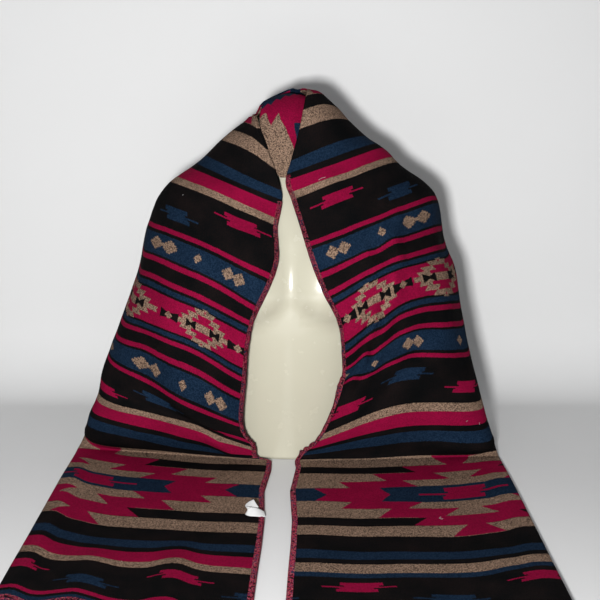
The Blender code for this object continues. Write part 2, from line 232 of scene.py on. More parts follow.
class Signal:
    """A number that runs through a node tree, combined with ordinary arithmetic."""

    def __init__(self, tree: bpy.types.NodeTree, socket: bpy.types.NodeSocket) -> None:
        """Take the socket that carries the number."""
        self.tree = tree
        self.socket = socket

    def join(self, operation: str, *others: "Signal | float") -> "Signal":
        """Combine with other numbers.

        Args:
            operation: name of the maths node's operation.
            others: the numbers that follow this one.

        Returns:
            The result.
        """
        node = self.tree.nodes.new("ShaderNodeMath")
        node.operation = operation
        for socket, value in zip(node.inputs, (self, *others)):
            connect(self.tree, socket, value)
        return Signal(self.tree, node.outputs[0])

    def __add__(self, other: "Signal | float") -> "Signal":
        """Sum."""
        return self.join("ADD", other)

    def __sub__(self, other: "Signal | float") -> "Signal":
        """Difference."""
        return self.join("SUBTRACT", other)

    def __mul__(self, other: "Signal | float") -> "Signal":
        """Product, which also joins two masks where both hold."""
        return self.join("MULTIPLY", other)

    def __truediv__(self, other: "Signal | float") -> "Signal":
        """Quotient."""
        return self.join("DIVIDE", other)

    def __abs__(self) -> "Signal":
        """Size without its sign."""
        return self.join("ABSOLUTE")

    def below(self, limit: "Signal | float") -> "Signal":
        """Mask of where the number is under the limit."""
        return self.join("LESS_THAN", limit)

    def above(self, limit: "Signal | float") -> "Signal":
        """Mask of where the number is over the limit."""
        return self.join("GREATER_THAN", limit)

    def either(self, other: "Signal | float") -> "Signal":
        """The larger of the two, which joins two masks where either holds."""
        return self.join("MAXIMUM", other)

    def least(self, other: "Signal | float") -> "Signal":
        """The smaller of the two."""
        return self.join("MINIMUM", other)

    def opposite(self) -> "Signal":
        """The mask turned round."""
        return self * -1.0 + 1.0

    def stepped(self, size: float) -> "Signal":
        """The number in whole steps, read at each step's middle."""
        return self.join("SNAP", size) + size / 2

    def repeated(self, pitch: "Signal | float") -> "Signal":
        """Distance from the nearest of many centres, pitch apart."""
        return self - (self / pitch).join("ROUND") * pitch

    def graph(self, table: Sequence[tuple[float, float]], across: float, up: float) -> "Signal":
        """Read the number off a chart of straight lines.

        Args:
            table: rising pairs of place and value.
            across: the place at the chart's right end.
            up: the value at the chart's top.

        Returns:
            The value.
        """
        node = self.tree.nodes.new("ShaderNodeFloatCurve")
        curve = node.mapping.curves[0]
        points = [(place / across, value / up) for place, value in table]
        curve.points[0].location = points[0]
        curve.points[1].location = points[-1]
        for place, value in points[1:-1]:
            curve.points.new(place, value)
        for point in curve.points:
            point.handle_type = "VECTOR"
        node.mapping.update()
        connect(self.tree, node.inputs["Value"], self / across)
        return Signal(self.tree, node.outputs["Value"]) * up


def connect(tree: bpy.types.NodeTree, socket: bpy.types.NodeSocket, value: object) -> None:
    """Feed a socket.

    Args:
        tree: the node tree.
        socket: the input to feed.
        value: a signal, another socket or a plain value.
    """
    if isinstance(value, Signal):
        tree.links.new(value.socket, socket)
    elif isinstance(value, bpy.types.NodeSocket):
        tree.links.new(value, socket)
    else:
        socket.default_value = value


def mix_colour(tree: bpy.types.NodeTree, mask: object, low: object, high: object) -> bpy.types.NodeSocket:
    """Blend two colours.

    Args:
        tree: the node tree.
        mask: 0 for the first colour, 1 for the second.
        low: the first colour.
        high: the second colour.

    Returns:
        The blended colour.
    """
    node = tree.nodes.new("ShaderNodeMix")
    node.data_type = "RGBA"
    connect(tree, node.inputs[0], mask)
    connect(tree, node.inputs[6], low)
    connect(tree, node.inputs[7], high)
    return node.outputs[2]


def noise_field(tree: bpy.types.NodeTree, place: object, scale: float, detail: float = 2.0) -> Signal:
    """Soft random field from 0 to 1.

    Args:
        tree: the node tree.
        place: the coordinates that it is read at.
        scale: how many lumps there are in a metre.
        detail: how much finer structure it has.

    Returns:
        The field.
    """
    node = tree.nodes.new("ShaderNodeTexNoise")
    connect(tree, node.inputs["Vector"], place)
    connect(tree, node.inputs["Scale"], scale)
    connect(tree, node.inputs["Detail"], detail)
    return Signal(tree, node.outputs["Fac"])


class NodeGroup:
    """A shared shader node group with named inputs and outputs."""

    def __init__(self, name: str, inputs: dict[str, str], outputs: dict[str, str]) -> None:
        """Make the empty group.

        Args:
            name: the group's name.
            inputs: socket type of each input.
            outputs: socket type of each output.
        """
        self.tree = bpy.data.node_groups.new(name, "ShaderNodeTree")
        for key, kind in inputs.items():
            self.tree.interface.new_socket(key, in_out="INPUT", socket_type=kind)
        for key, kind in outputs.items():
            self.tree.interface.new_socket(key, in_out="OUTPUT", socket_type=kind)
        self.entry = self.tree.nodes.new("NodeGroupInput")
        self.exit = self.tree.nodes.new("NodeGroupOutput")

    def given(self, key: str) -> Signal:
        """One input, as a signal."""
        return Signal(self.tree, self.entry.outputs[key])

    def give(self, key: str, value: object) -> None:
        """Feed one output."""
        connect(self.tree, self.exit.inputs[key], value)

    def use(self, tree: bpy.types.NodeTree, **values: object) -> bpy.types.Node:
        """Put the group into a material.

        Args:
            tree: the material's node tree.
            values: what feeds each input.

        Returns:
            The group node.
        """
        node = tree.nodes.new("ShaderNodeGroup")
        node.node_tree = self.tree
        for key, value in values.items():
            connect(tree, node.inputs[key], value)
        return node


# The woven pattern.

class Yarn(Enum):
    """The cloth's yarns, as shares of crimson, tan and blue; black is none of them."""

    BLACK = (0.0, 0.0, 0.0, 1.0)
    CRIMSON = (1.0, 0.0, 0.0, 1.0)
    TAN = (0.0, 1.0, 0.0, 1.0)
    BLUE = (0.0, 0.0, 1.0, 1.0)


class Stripe(NamedTuple):
    """One stripe: how far it starts from the middle of the great diamond band, in mm, and its yarn."""

    start: float
    yarn: Yarn


STRIPES = [
    Stripe(0, Yarn.BLUE),
    Stripe(19, Yarn.TAN),
    Stripe(65, Yarn.BLACK),
    Stripe(87, Yarn.TAN),
    Stripe(114, Yarn.BLACK),
    Stripe(143, Yarn.BLUE),
    Stripe(163, Yarn.BLACK),
    Stripe(175, Yarn.CRIMSON),
    Stripe(203, Yarn.TAN),
    Stripe(218, Yarn.BLACK),
    Stripe(289.5, Yarn.CRIMSON),
    Stripe(296, Yarn.BLACK),
    Stripe(300.5, Yarn.BLUE),
    Stripe(329, Yarn.BLACK),
    Stripe(331.5, Yarn.CRIMSON),
    Stripe(338, Yarn.BLACK),
    Stripe(356, Yarn.CRIMSON),
    Stripe(362, Yarn.BLACK),
    Stripe(364.5, Yarn.BLUE),
    Stripe(372, Yarn.BLACK),
    Stripe(375.5, Yarn.CRIMSON),
]
HALF_REPEAT = 0.3985

# The serrated edges of the great diamond: distance along from its middle, and half width there, in mm.
OUTER_EDGE = [(0, 178), (19, 195), (19.4, 148), (38.6, 163), (39, 99), (64.6, 119), (65, 58), (88, 77),
              (88.4, 11), (114, 33)]
INNER_EDGE = [(0, 97), (19, 110), (19.4, 58), (38.6, 78), (39, 13), (61, 34), (61.4, 0)]


class Sides(NamedTuple):
    """A number that differs between the left and the right half of the shawl."""

    left: float
    right: float


class DashRow(NamedTuple):
    """One row of dashes in one of the three stretches of the pattern, in metres."""

    stretch: int
    yarn: Yarn
    along: Sides
    across: Sides
    pitch: Sides


DASH_ROWS = [
    DashRow(0, Yarn.CRIMSON, Sides(0.242, 0.243), Sides(0.044, 0.0545), Sides(0.190, 0.190)),
    DashRow(0, Yarn.BLUE, Sides(0.268, 0.268), Sides(0.140, 0.142), Sides(0.190, 0.190)),
    DashRow(1, Yarn.CRIMSON, Sides(0.243, 0.245), Sides(0.206, 0.028), Sides(0.184, 0.175)),
    DashRow(1, Yarn.BLUE, Sides(0.268, 0.266), Sides(0.121, 0.105), Sides(0.184, 0.250)),
    DashRow(2, Yarn.CRIMSON, Sides(0.243, 0.2255), Sides(0.080, 0.070), Sides(0.184, 0.184)),
    DashRow(2, Yarn.BLUE, Sides(0.268, 0.2505), Sides(0.180, 0.158), Sides(0.184, 0.184)),
]


class DiamondRow(NamedTuple):
    """The small tan diamonds of one blue band, in metres."""

    stretch: int
    double_across: Sides
    single_across: Sides
    pitch: Sides


DIAMOND_ROWS = [
    DiamondRow(0, Sides(0.0435, 0.0355), Sides(0.094, 0.0945), Sides(0.100, 0.1055)),
    DiamondRow(1, Sides(0.0390, 0.1075), Sides(0.084, 0.0510), Sides(0.0955, 0.1125)),
]
DIAMOND_ALONG = 0.315


class ShawlChart:
    """The woven pattern of the long cloth, from a place on it to the yarn that shows there."""

    def __init__(self) -> None:
        """Draw the whole chart into one node group."""
        self.group = NodeGroup("shawl_chart", {"Place": "NodeSocketVector"}, {"Shares": "NodeSocketColor"})
        self.tree = self.group.tree
        place = self.group.given("Place").socket
        split = self.tree.nodes.new("ShaderNodeSeparateXYZ")
        connect(self.tree, split.inputs[0], place)
        signed = Signal(self.tree, split.outputs[1])
        waver = (noise_field(self.tree, place, 60.0, 3.0) - 0.5) * 0.0026
        fray = (noise_field(self.tree, place, 700.0, 1.0) - 0.5) * 0.0022
        self.right = signed.above(0.0)
        self.across = (Signal(self.tree, split.outputs[0]) + waver + fray).stepped(0.0008)
        self.along = abs(signed)
        teeth = (abs(self.across.repeated(0.0026)) - 0.00065) * 0.7
        from_band = self.along.join("PINGPONG", HALF_REPEAT) + waver * 0.5 + fray * 0.6
        self.distance = (from_band + teeth).stepped(0.0006)
        self.squeezed = self.across.least(0.130) + (self.across - 0.130).either(0.0) * 0.5
        self.shares = self.stripes()
        self.right_end()
        self.great_diamond()
        self.dashes()
        self.small_diamonds()
        self.medallions()
        self.group.give("Shares", self.shares)

    def side(self, sides: Sides) -> Signal:
        """The number for the half of the shawl that is being drawn."""
        return self.right * (sides.right - sides.left) + sides.left

    def stretch(self, number: int) -> Signal:
        """Mask of one of the stretches between the great bands and their mirror lines."""
        above = self.along.above(number * HALF_REPEAT)
        return above * self.along.below((number + 1) * HALF_REPEAT)

    def paint(self, mask: Signal, yarn: Yarn) -> None:
        """Weave a yarn in where the mask holds."""
        self.shares = mix_colour(self.tree, mask, self.shares, yarn.value)

    def stripes(self) -> bpy.types.NodeSocket:
        """Draw the plain stripes, mirrored and repeated along the cloth.

        Returns:
            The yarn shares that they give.
        """
        node = self.tree.nodes.new("ShaderNodeValToRGB")
        ramp = node.color_ramp
        ramp.interpolation = "CONSTANT"
        reach = 0.42
        ramp.elements[0].color = STRIPES[0].yarn.value
        ramp.elements[1].position = STRIPES[-1].start * MM / reach
        ramp.elements[1].color = STRIPES[-1].yarn.value
        for stripe in STRIPES[1:-1]:
            ramp.elements.new(stripe.start * MM / reach).color = stripe.yarn.value
        connect(self.tree, node.inputs[0], self.distance / reach)
        return node.outputs[0]

    def right_end(self) -> None:
        """Beyond the great band the right end has a tan and a thin blue stripe instead of the crimson."""
        beyond = self.right * self.stretch(2)
        for start, yarn in ((0.175, Yarn.TAN), (0.1955, Yarn.BLUE), (0.2060, Yarn.BLACK)):
            self.paint(beyond * self.distance.above(start) * self.distance.below(0.2240), yarn)

    def great_diamond(self) -> None:
        """The serrated crimson diamond of the great band, round a crimson bar."""
        offset = (self.across - self.side(Sides(0.228, 0.2085))) / self.side(Sides(1.0, 0.93))
        outer = self.distance.graph([(a * MM, b * MM) for a, b in OUTER_EDGE], 0.12, 0.2)
        inner = self.distance.graph([(a * MM, b * MM) for a, b in INNER_EDGE], 0.12, 0.2)
        width = abs(offset)
        self.paint(width.below(outer) * width.above(inner) * self.distance.below(0.114), Yarn.CRIMSON)
        from_middle = self.along - 2 * HALF_REPEAT
        self.paint(self.dash(offset, from_middle, 0.028, 0.0135, 0.032), Yarn.CRIMSON)

    def dash(self, offset: Signal, down: Signal, half: float, height: float, line: float) -> Signal:
        """Mask of one stepped bar with a thin line at each end.

        Args:
            offset: distance across from the bar's middle.
            down: distance along from the bar's middle.
            half: half the bar's length.
            height: half the bar's height.
            line: length of each thin line.

        Returns:
            The mask.
        """
        tall = abs(down)
        lean = offset + down.join("SIGN") * 0.0022
        reach = tall.above(height * 0.38) * (0.18 * half) + 0.82 * half
        body = abs(lean).below(reach) * tall.below(height)
        tail = abs(offset).below(half + line) * tall.below(height * 0.14)
        return body.either(tail)

    def dashes(self) -> None:
        """Crimson and blue dashes in the wide black stripes."""
        for row in DASH_ROWS:
            offset = (self.across - self.side(row.across)).repeated(self.side(row.pitch))
            sign = 1.0 if row.stretch != 1 else -1.0
            down = (self.distance - self.side(row.along)) * sign
            mask = self.dash(offset, down, 0.021, 0.0092, 0.016) * self.stretch(row.stretch)
            self.paint(mask, row.yarn)

    def small_diamonds(self) -> None:
        """Double and single tan diamonds along the blue bands."""
        rise = abs(self.distance.stepped(0.0022) - DIAMOND_ALONG)
        for row in DIAMOND_ROWS:
            pitch = self.side(row.pitch)
            double = abs((self.squeezed - self.side(row.double_across)).repeated(pitch))
            pair = abs(double - 0.0077) / 0.0092 + rise / 0.0092
            single = abs((self.squeezed - self.side(row.single_across)).repeated(pitch))
            lone = single / 0.0054 + rise / 0.0068
            self.paint(pair.least(lone).below(1.0) * self.stretch(row.stretch), Yarn.TAN)

    def medallions(self) -> None:
        """Spiked tan medallions and black eyes along the crimson band at the mirror line."""
        near = self.along.above(0.30) * self.along.below(0.50)
        rise = abs(self.along + (self.distance - self.along.join("PINGPONG", HALF_REPEAT)) - HALF_REPEAT)
        offset = (self.squeezed - self.side(Sides(0.065, 0.055))).repeated(self.side(Sides(0.107, 0.0985)))
        width = abs(offset)
        spike = (rise.repeated(0.0068) + 0.0034) * 1.7
        size = (width - spike + 0.005) / 0.037 + rise / 0.0300
        self.paint(size.below(1.0) * rise.below(0.0262) * near, Yarn.TAN)
        self.paint(size.below(0.66) * rise.above(0.0052) * width.below(0.015) * near, Yarn.CRIMSON)
        wing = abs(width - 0.0165)
        hollow = rise.above(wing * 0.75 + 0.0018)
        self.paint(wing.below(0.0068) * rise.below(0.0060) * hollow.opposite() * near, Yarn.BLACK)
        from_eye = self.squeezed - self.side(Sides(0.0140, 0.0140))
        eye = abs(from_eye.repeated(self.side(Sides(0.1005, 0.083))))
        self.paint(eye.below(0.0150) * rise.below(eye * 0.22 + 0.0032) * near, Yarn.BLACK)
        self.paint((eye / 0.0062 + rise / 0.0058).below(1.0) * near, Yarn.TAN)


class NeckChart:
    """The part of the great band that shows on the tucked cloth at the neck."""

    def __init__(self) -> None:
        """Draw the chart into a node group: its place is metres across and metres up the tuck."""
        self.group = NodeGroup("neck_chart", {"Place": "NodeSocketVector"}, {"Shares": "NodeSocketColor"})
        tree = self.group.tree
        place = self.group.given("Place").socket
        split = tree.nodes.new("ShaderNodeSeparateXYZ")
        connect(tree, split.inputs[0], place)
        waver = (noise_field(tree, place, 90.0, 3.0) - 0.5) * 0.003
        across = (Signal(tree, split.outputs[0]) + waver).stepped(0.0008)
        height = (Signal(tree, split.outputs[1]) + waver).stepped(0.0008)
        ridge = (across + 0.038).graph(
            [(0, 0.062), (0.008, 0.080), (0.0125, 0.084), (0.0205, 0.066), (0.029, 0.084), (0.033, 0.075),
             (0.048, 0.046), (0.051, 0.038), (0.06, 0.03), (0.08, 0.01)], 0.08, 0.1)
        shares = mix_colour(tree, height.above(ridge), Yarn.TAN.value, Yarn.CRIMSON.value)
        strip = (height * 0.23 + across).above(0.0277) * height.below(0.070) * height.above(0.030)
        shares = mix_colour(tree, strip, shares, Yarn.BLUE.value)
        teeth = abs(across.repeated(0.0105)) * 1.9
        crown = (across.either(-0.030) * 0.95 + 0.1200 + teeth).below(height)
        shares = mix_colour(tree, crown * across.below(0.0105), shares, Yarn.BLUE.value)
        self.group.give("Shares", shares)


# Finishes.

@dataclass(frozen=True)
class WovenFinish:
    """Brushed twill in four yarns, mottled as the real cloth is."""

    crimson: Colour = (0.180, 0.0026, 0.0265, 1.0)
    crimson_shade: Colour = (0.100, 0.0018, 0.0150, 1.0)
    tan: Colour = (0.215, 0.142, 0.100, 1.0)
    tan_speck: Colour = (0.046, 0.029, 0.021, 1.0)
    blue: Colour = (0.0028, 0.0078, 0.0180, 1.0)
    blue_speck: Colour = (0.0100, 0.0220, 0.0430, 1.0)
    black: Colour = (0.0018, 0.0023, 0.0026, 1.0)
    black_shade: Colour = (0.0070, 0.0044, 0.0042, 1.0)
    roughness: float = 0.95
    bump: float = 0.45

    def surface(self) -> NodeGroup:
        """Make the node group from yarn shares and a place to colour and height.

        Returns:
            The group.
        """
        group = NodeGroup("woven_surface", {"Place": "NodeSocketVector", "Shares": "NodeSocketColor"},
                          {"Colour": "NodeSocketColor", "Height": "NodeSocketFloat"})
        tree = group.tree
        place = group.given("Place").socket
        split = tree.nodes.new("ShaderNodeSeparateXYZ")
        connect(tree, split.inputs[0], place)
        across, along = Signal(tree, split.outputs[0]), Signal(tree, split.outputs[1])
        grain = noise_field(tree, place, 700.0, 3.0)
        fuzz = noise_field(tree, place, 1500.0, 2.0)
        patch = noise_field(tree, place, 26.0, 3.0)
        stitch = tree.nodes.new("ShaderNodeCombineXYZ")
        connect(tree, stitch.inputs[0], (across + along * 0.8).join("SNAP", 0.0013))
        connect(tree, stitch.inputs[1], (along - across * 0.3).join("SNAP", 0.0011))
        random = tree.nodes.new("ShaderNodeTexWhiteNoise")
        random.noise_dimensions = "2D"
        connect(tree, random.inputs["Vector"], stitch.outputs[0])
        picked = Signal(tree, random.outputs["Value"])
        fleck = ((picked - 0.5) * 1.5 + (grain - 0.5) * 2.5 + 0.45).least(1.0).either(0.0)
        mottle = ((patch - 0.5) * 1.6 + (grain - 0.5) * 3.0 + 0.35).least(1.0).either(0.0)
        crimson = mix_colour(tree, fleck * 0.7, self.crimson, self.crimson_shade)
        tan = mix_colour(tree, fleck, self.tan, self.tan_speck)
        blue = mix_colour(tree, fleck * 0.75, self.blue, self.blue_speck)
        black = mix_colour(tree, mottle, self.black, self.black_shade)
        shares = tree.nodes.new("ShaderNodeSeparateColor")
        connect(tree, shares.inputs[0], group.given("Shares"))
        colour = mix_colour(tree, shares.outputs[0], black, crimson)
        colour = mix_colour(tree, shares.outputs[1], colour, tan)
        colour = mix_colour(tree, shares.outputs[2], colour, blue)
        brushed = (patch - 0.5) * 0.45 + (fuzz - 0.5) * 0.5 + 1.0
        tone = tree.nodes.new("ShaderNodeVectorMath")
        tone.operation = "SCALE"
        connect(tree, tone.inputs[0], colour)
        connect(tree, tone.inputs["Scale"], brushed)
        group.give("Colour", tone.outputs[0])
        twill = ((across + along * 0.8) * (2 * math.pi / 0.0018)).join("SINE")
        group.give("Height", twill * 0.12 + fuzz * 0.45 + grain * 0.55 + patch * 0.5)
        return group

    def dress(self, name: str, chart: NodeGroup, surface: NodeGroup) -> bpy.types.Material:
        """Material of one piece of the cloth.

        Args:
            name: the material's name.
            chart: the group that gives the yarn at each place.
            surface: the group that gives colour and height.

        Returns:
            The material.
        """
        material, tree, shader = new_material(name)
        place = tree.nodes.new("ShaderNodeUVMap")
        place.uv_map = "cloth_place"
        shares = chart.use(tree, Place=place.outputs[0])
        woven = surface.use(tree, Place=place.outputs[0], Shares=shares.outputs["Shares"])
        connect(tree, shader.inputs["Base Color"], woven.outputs["Colour"])
        add_bump(tree, shader, woven.outputs["Height"], self.bump, 0.0007)
        shader.inputs["Roughness"].default_value = self.roughness
        shader.inputs["Specular IOR Level"].default_value = 0.02
        return material


@dataclass(frozen=True)
class ThreadFinish:
    """Overlock thread that changes colour along the edge."""

    crimson: Colour = (0.170, 0.0050, 0.0260, 1.0)
    tan: Colour = (0.220, 0.130, 0.105, 1.0)
    blue: Colour = (0.0060, 0.0140, 0.0340, 1.0)
    dark: Colour = (0.0050, 0.0030, 0.0040, 1.0)
    roughness: float = 0.9

    def dress(self, name: str) -> bpy.types.Material:
        """Material of the stitching, its colour a random run of four.

        Args:
            name: the material's name.

        Returns:
            The material.
        """
        material, tree, shader = new_material(name)
        place = tree.nodes.new("ShaderNodeUVMap")
        place.uv_map = "cloth_place"
        run = noise_field(tree, place.outputs[0], 30.0, 2.0)
        each = noise_field(tree, tree.nodes.new("ShaderNodeTexCoord").outputs["Object"], 460.0, 0.0)
        ramp = tree.nodes.new("ShaderNodeValToRGB")
        ramp.color_ramp.interpolation = "CONSTANT"
        ramp.color_ramp.elements[0].color = self.dark
        ramp.color_ramp.elements[1].position = 0.60
        ramp.color_ramp.elements[1].color = self.blue
        for start, colour in ((0.43, self.crimson), (0.505, self.tan), (0.53, self.crimson)):
            ramp.color_ramp.elements.new(start).color = colour
        connect(tree, ramp.inputs[0], run * 0.35 + each * 0.65)
        connect(tree, shader.inputs["Base Color"], ramp.outputs[0])
        fibre = noise_field(tree, place.outputs[0], 3200.0, 2.0)
        add_bump(tree, shader, fibre, 0.4, 0.0003)
        shader.inputs["Roughness"].default_value = self.roughness
        shader.inputs["Specular IOR Level"].default_value = 0.1
        return material


@dataclass(frozen=True)
class GlossFinish:
    """Smooth glossy cream plastic of the dress form."""

    cream: Colour = (0.430, 0.412, 0.326, 1.0)
    shade: Colour = (0.385, 0.367, 0.288, 1.0)
    coat: float = 0.5

    def dress(self, name: str) -> bpy.types.Material:
        """Material of the form, with faint clouding, polish marks and moulding ripple.

        Args:
            name: the material's name.

        Returns:
            The material.
        """
        material, tree, shader = new_material(name)
        place = tree.nodes.new("ShaderNodeTexCoord").outputs["Object"]
        cloud = noise_field(tree, place, 9.0, 4.0)
        marks = noise_field(tree, place, 70.0, 5.0)
        colour = mix_colour(tree, cloud, self.cream, self.shade)
        connect(tree, shader.inputs["Base Color"], colour)
        connect(tree, shader.inputs["Roughness"], marks * 0.16 + 0.17)
        ripple = noise_field(tree, place, 24.0, 2.0) + marks * 0.08
        add_bump(tree, shader, ripple, 0.12, 0.002)
        shader.inputs["Coat Weight"].default_value = self.coat
        shader.inputs["Coat Roughness"].default_value = 0.08
        return material


@dataclass(frozen=True)
class RibbonFinish:
    """Blank white satin ribbon."""

    white: Colour = (0.50, 0.50, 0.49, 1.0)
    shade: Colour = (0.34, 0.34, 0.35, 1.0)
    roughness: float = 0.6

    def dress(self, name: str) -> bpy.types.Material:
        """Material of the care ribbon, finely ribbed across.

        Args:
            name: the material's name.

        Returns:
            The material.
        """
        material, tree, shader = new_material(name)
        place = tree.nodes.new("ShaderNodeTexCoord").outputs["Object"]
        split = tree.nodes.new("ShaderNodeSeparateXYZ")
        connect(tree, split.inputs[0], place)
        rib = (Signal(tree, split.outputs[0]) * (2 * math.pi / 0.0009)).join("SINE")
        soil = noise_field(tree, place, 160.0, 3.0)
        connect(tree, shader.inputs["Base Color"], mix_colour(tree, soil * 0.6, self.white, self.shade))
        add_bump(tree, shader, rib * 0.5 + soil, 0.25, 0.0002)
        shader.inputs["Roughness"].default_value = self.roughness
        return material


@dataclass(frozen=True)
class PaperFinish:
    """Pale matte table and backdrop."""

    pale: Colour = (0.62, 0.62, 0.62, 1.0)
    shade: Colour = (0.58, 0.58, 0.575, 1.0)
    roughness: float = 0.8

    def dress(self, name: str) -> bpy.types.Material:
        """Material with faint clouding, see-through from behind so that the backdrop hides no view.

        Args:
            name: the material's name.

        Returns:
            The material.
        """
        material, tree, shader = new_material(name)
        place = tree.nodes.new("ShaderNodeTexCoord").outputs["Object"]
        cloud = noise_field(tree, place, 3.0, 4.0)
        connect(tree, shader.inputs["Base Color"], mix_colour(tree, cloud, self.pale, self.shade))
        shader.inputs["Roughness"].default_value = self.roughness
        behind = tree.nodes.new("ShaderNodeNewGeometry").outputs["Backfacing"]
        clear = tree.nodes.new("ShaderNodeBsdfTransparent")
        either = tree.nodes.new("ShaderNodeMixShader")
        for socket, value in zip(either.inputs, (behind, shader.outputs[0], clear.outputs[0])):
            connect(tree, socket, value)
        connect(tree, tree.nodes["Material Output"].inputs["Surface"], either.outputs[0])
        return material


def new_material(name: str) -> tuple[bpy.types.Material, bpy.types.NodeTree, bpy.types.Node]:
    """Make a node material.

    Args:
        name: the material's name.

    Returns:
        The material, its node tree and its surface shader.
    """
    material = bpy.data.materials.new(name)
    material.use_nodes = True
    tree = material.node_tree
    return material, tree, tree.nodes["Principled BSDF"]


def add_bump(tree: bpy.types.NodeTree, shader: bpy.types.Node, height: object,
             strength: float, distance: float) -> None:
    """Raise the surface by a height field.

    Args:
        tree: the material's node tree.
        shader: its surface shader.
        height: the field.
        strength: share of the effect, from 0 to 1.
        distance: what a height of 1 stands for, in metres.
    """
    bump = tree.nodes.new("ShaderNodeBump")
    bump.inputs["Strength"].default_value = strength
    bump.inputs["Distance"].default_value = distance
    connect(tree, bump.inputs["Height"], height)
    connect(tree, shader.inputs["Normal"], bump.outputs[0])


def place_piece(thing: bpy.types.Object, material: bpy.types.Material, slot: str, *nodes: str) -> None:
    """Dress a piece, let it ride on the body and hide the solids that it stands for.

    Args:
        thing: the piece.
        material: its material.
        slot: not used.
        nodes: the nodes that it replaces.
    """
    thing.data.materials.append(material)
    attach(thing, ROOT)
    if nodes:
        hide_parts(*nodes)


# The dress form.

class FormRing(NamedTuple):
    """One level of the dress form, in mm."""

    height: float
    half_width: float
    front: float
    back: float


@dataclass
class DressForm:
    """The limbless form: smooth rings from a flat base to a domed neck stub."""

    finish: GlossFinish = field(default_factory=GlossFinish)
    sides: int = 112
    levels: int = 90
    chest_depth: float = 0.021
    chest_spread: float = 0.060
    chest_height: float = 0.232
    chest_inner: float = 0.055
    chest_outer: float = 0.090
    chest_below: float = 0.045
    chest_above: float = 0.105
    chest_power: float = 0.7
    rings: Sequence[FormRing] = (
        FormRing(0, 119, 88, 78),
        FormRing(2, 122, 90, 80),
        FormRing(60, 128, 95, 84),
        FormRing(120, 141, 101, 90),
        FormRing(180, 158, 106, 95),
        FormRing(225, 170, 107, 97),
        FormRing(262, 177, 101, 95),
        FormRing(290, 177, 93, 90),
        FormRing(310, 169, 84, 84),
        FormRing(328, 153, 75, 77),
        FormRing(344, 128, 67, 70),
        FormRing(358, 98, 60, 65),
        FormRing(371, 72, 55, 61),
        FormRing(390, 57, 51, 57),
        FormRing(412, 49, 47, 52),
        FormRing(432, 45, 44, 48),
        FormRing(447, 40, 39, 43),
        FormRing(457, 33, 32, 36),
        FormRing(463, 24, 23, 27),
        FormRing(466, 12, 11, 14),
    )

    def points(self) -> Grid:
        """Shape the form.

        Returns:
            Rings of points from the base to the crown.
        """
        table = np.array(self.rings, dtype=float) * MM
        sizes = smooth(np.arange(len(table)), table, np.linspace(0, len(table) - 1, self.levels))
        turn = np.linspace(0.0, 2 * np.pi, self.sides, endpoint=False)
        height, half_width, front, back = (sizes[:, k:k + 1] for k in range(4))
        height = np.maximum(height, 0.0)
        x = half_width * np.cos(turn)
        y = np.where(np.sin(turn) < 0, front, back) * np.sin(turn)
        aside = np.abs(x) - self.chest_spread
        rise = height - self.chest_height
        aside = aside / np.where(aside < 0, self.chest_inner, self.chest_outer)
        rise = rise / np.where(rise < 0, self.chest_below, self.chest_above)
        mounds = np.maximum(1.0 - aside**2 - rise**2, 0.0)**self.chest_power
        y = y - np.maximum(-np.sin(turn), 0.0) * self.chest_depth * mounds
        return np.stack([x, y, np.broadcast_to(height, x.shape)], axis=2)

    def build(self) -> BVHTree:
        """Make the form.

        Returns:
            A search tree of its surface, for what lies on it.
        """
        points = self.points()
        faces = grid_faces(self.levels, self.sides, closed=True)
        faces.append(tuple(range(self.sides))[::-1])
        first = (self.levels - 1) * self.sides
        faces.append(tuple(range(first, first + self.sides)))
        form = make_object("smooth_dress_form", points, faces)
        place_piece(form, self.finish.dress("form_gloss"), "form", "dress_form")
        log.info("dress form: %d faces", len(faces))
        return tree_of(points, faces)


# The cloth.

class Row(NamedTuple):
    """One line across the cloth, in mm: from the free edge over the panel and side to the fold."""

    along: float
    tuck: float
    inner: tuple[float, float, float]
    middle: tuple[float, float, float]
    side: tuple[float, float, float]
    fold: tuple[float, float, float]


class Crease(NamedTuple):
    """One soft trough, or ridge where depth is under 0, from one place on the cloth to another, in mm."""

    across_0: float
    along_0: float
    across_1: float
    along_1: float
    width: float
    depth: float


class Wave(NamedTuple):
    """One long low wave in an end on the table, in mm."""

    across: float
    width: float
    height: float
    from_y: float


class Slip(NamedTuple):
    """How far the handled weave has crept along the cloth at four places across it, in mm."""

    along: float
    edge: float
    near: float
    far: float
    fold: float


class NeckRow(NamedTuple):
    """One line across the tucked cloth at the neck, in mm."""

    height: float
    depth: float
    middle: float
    half_width: float


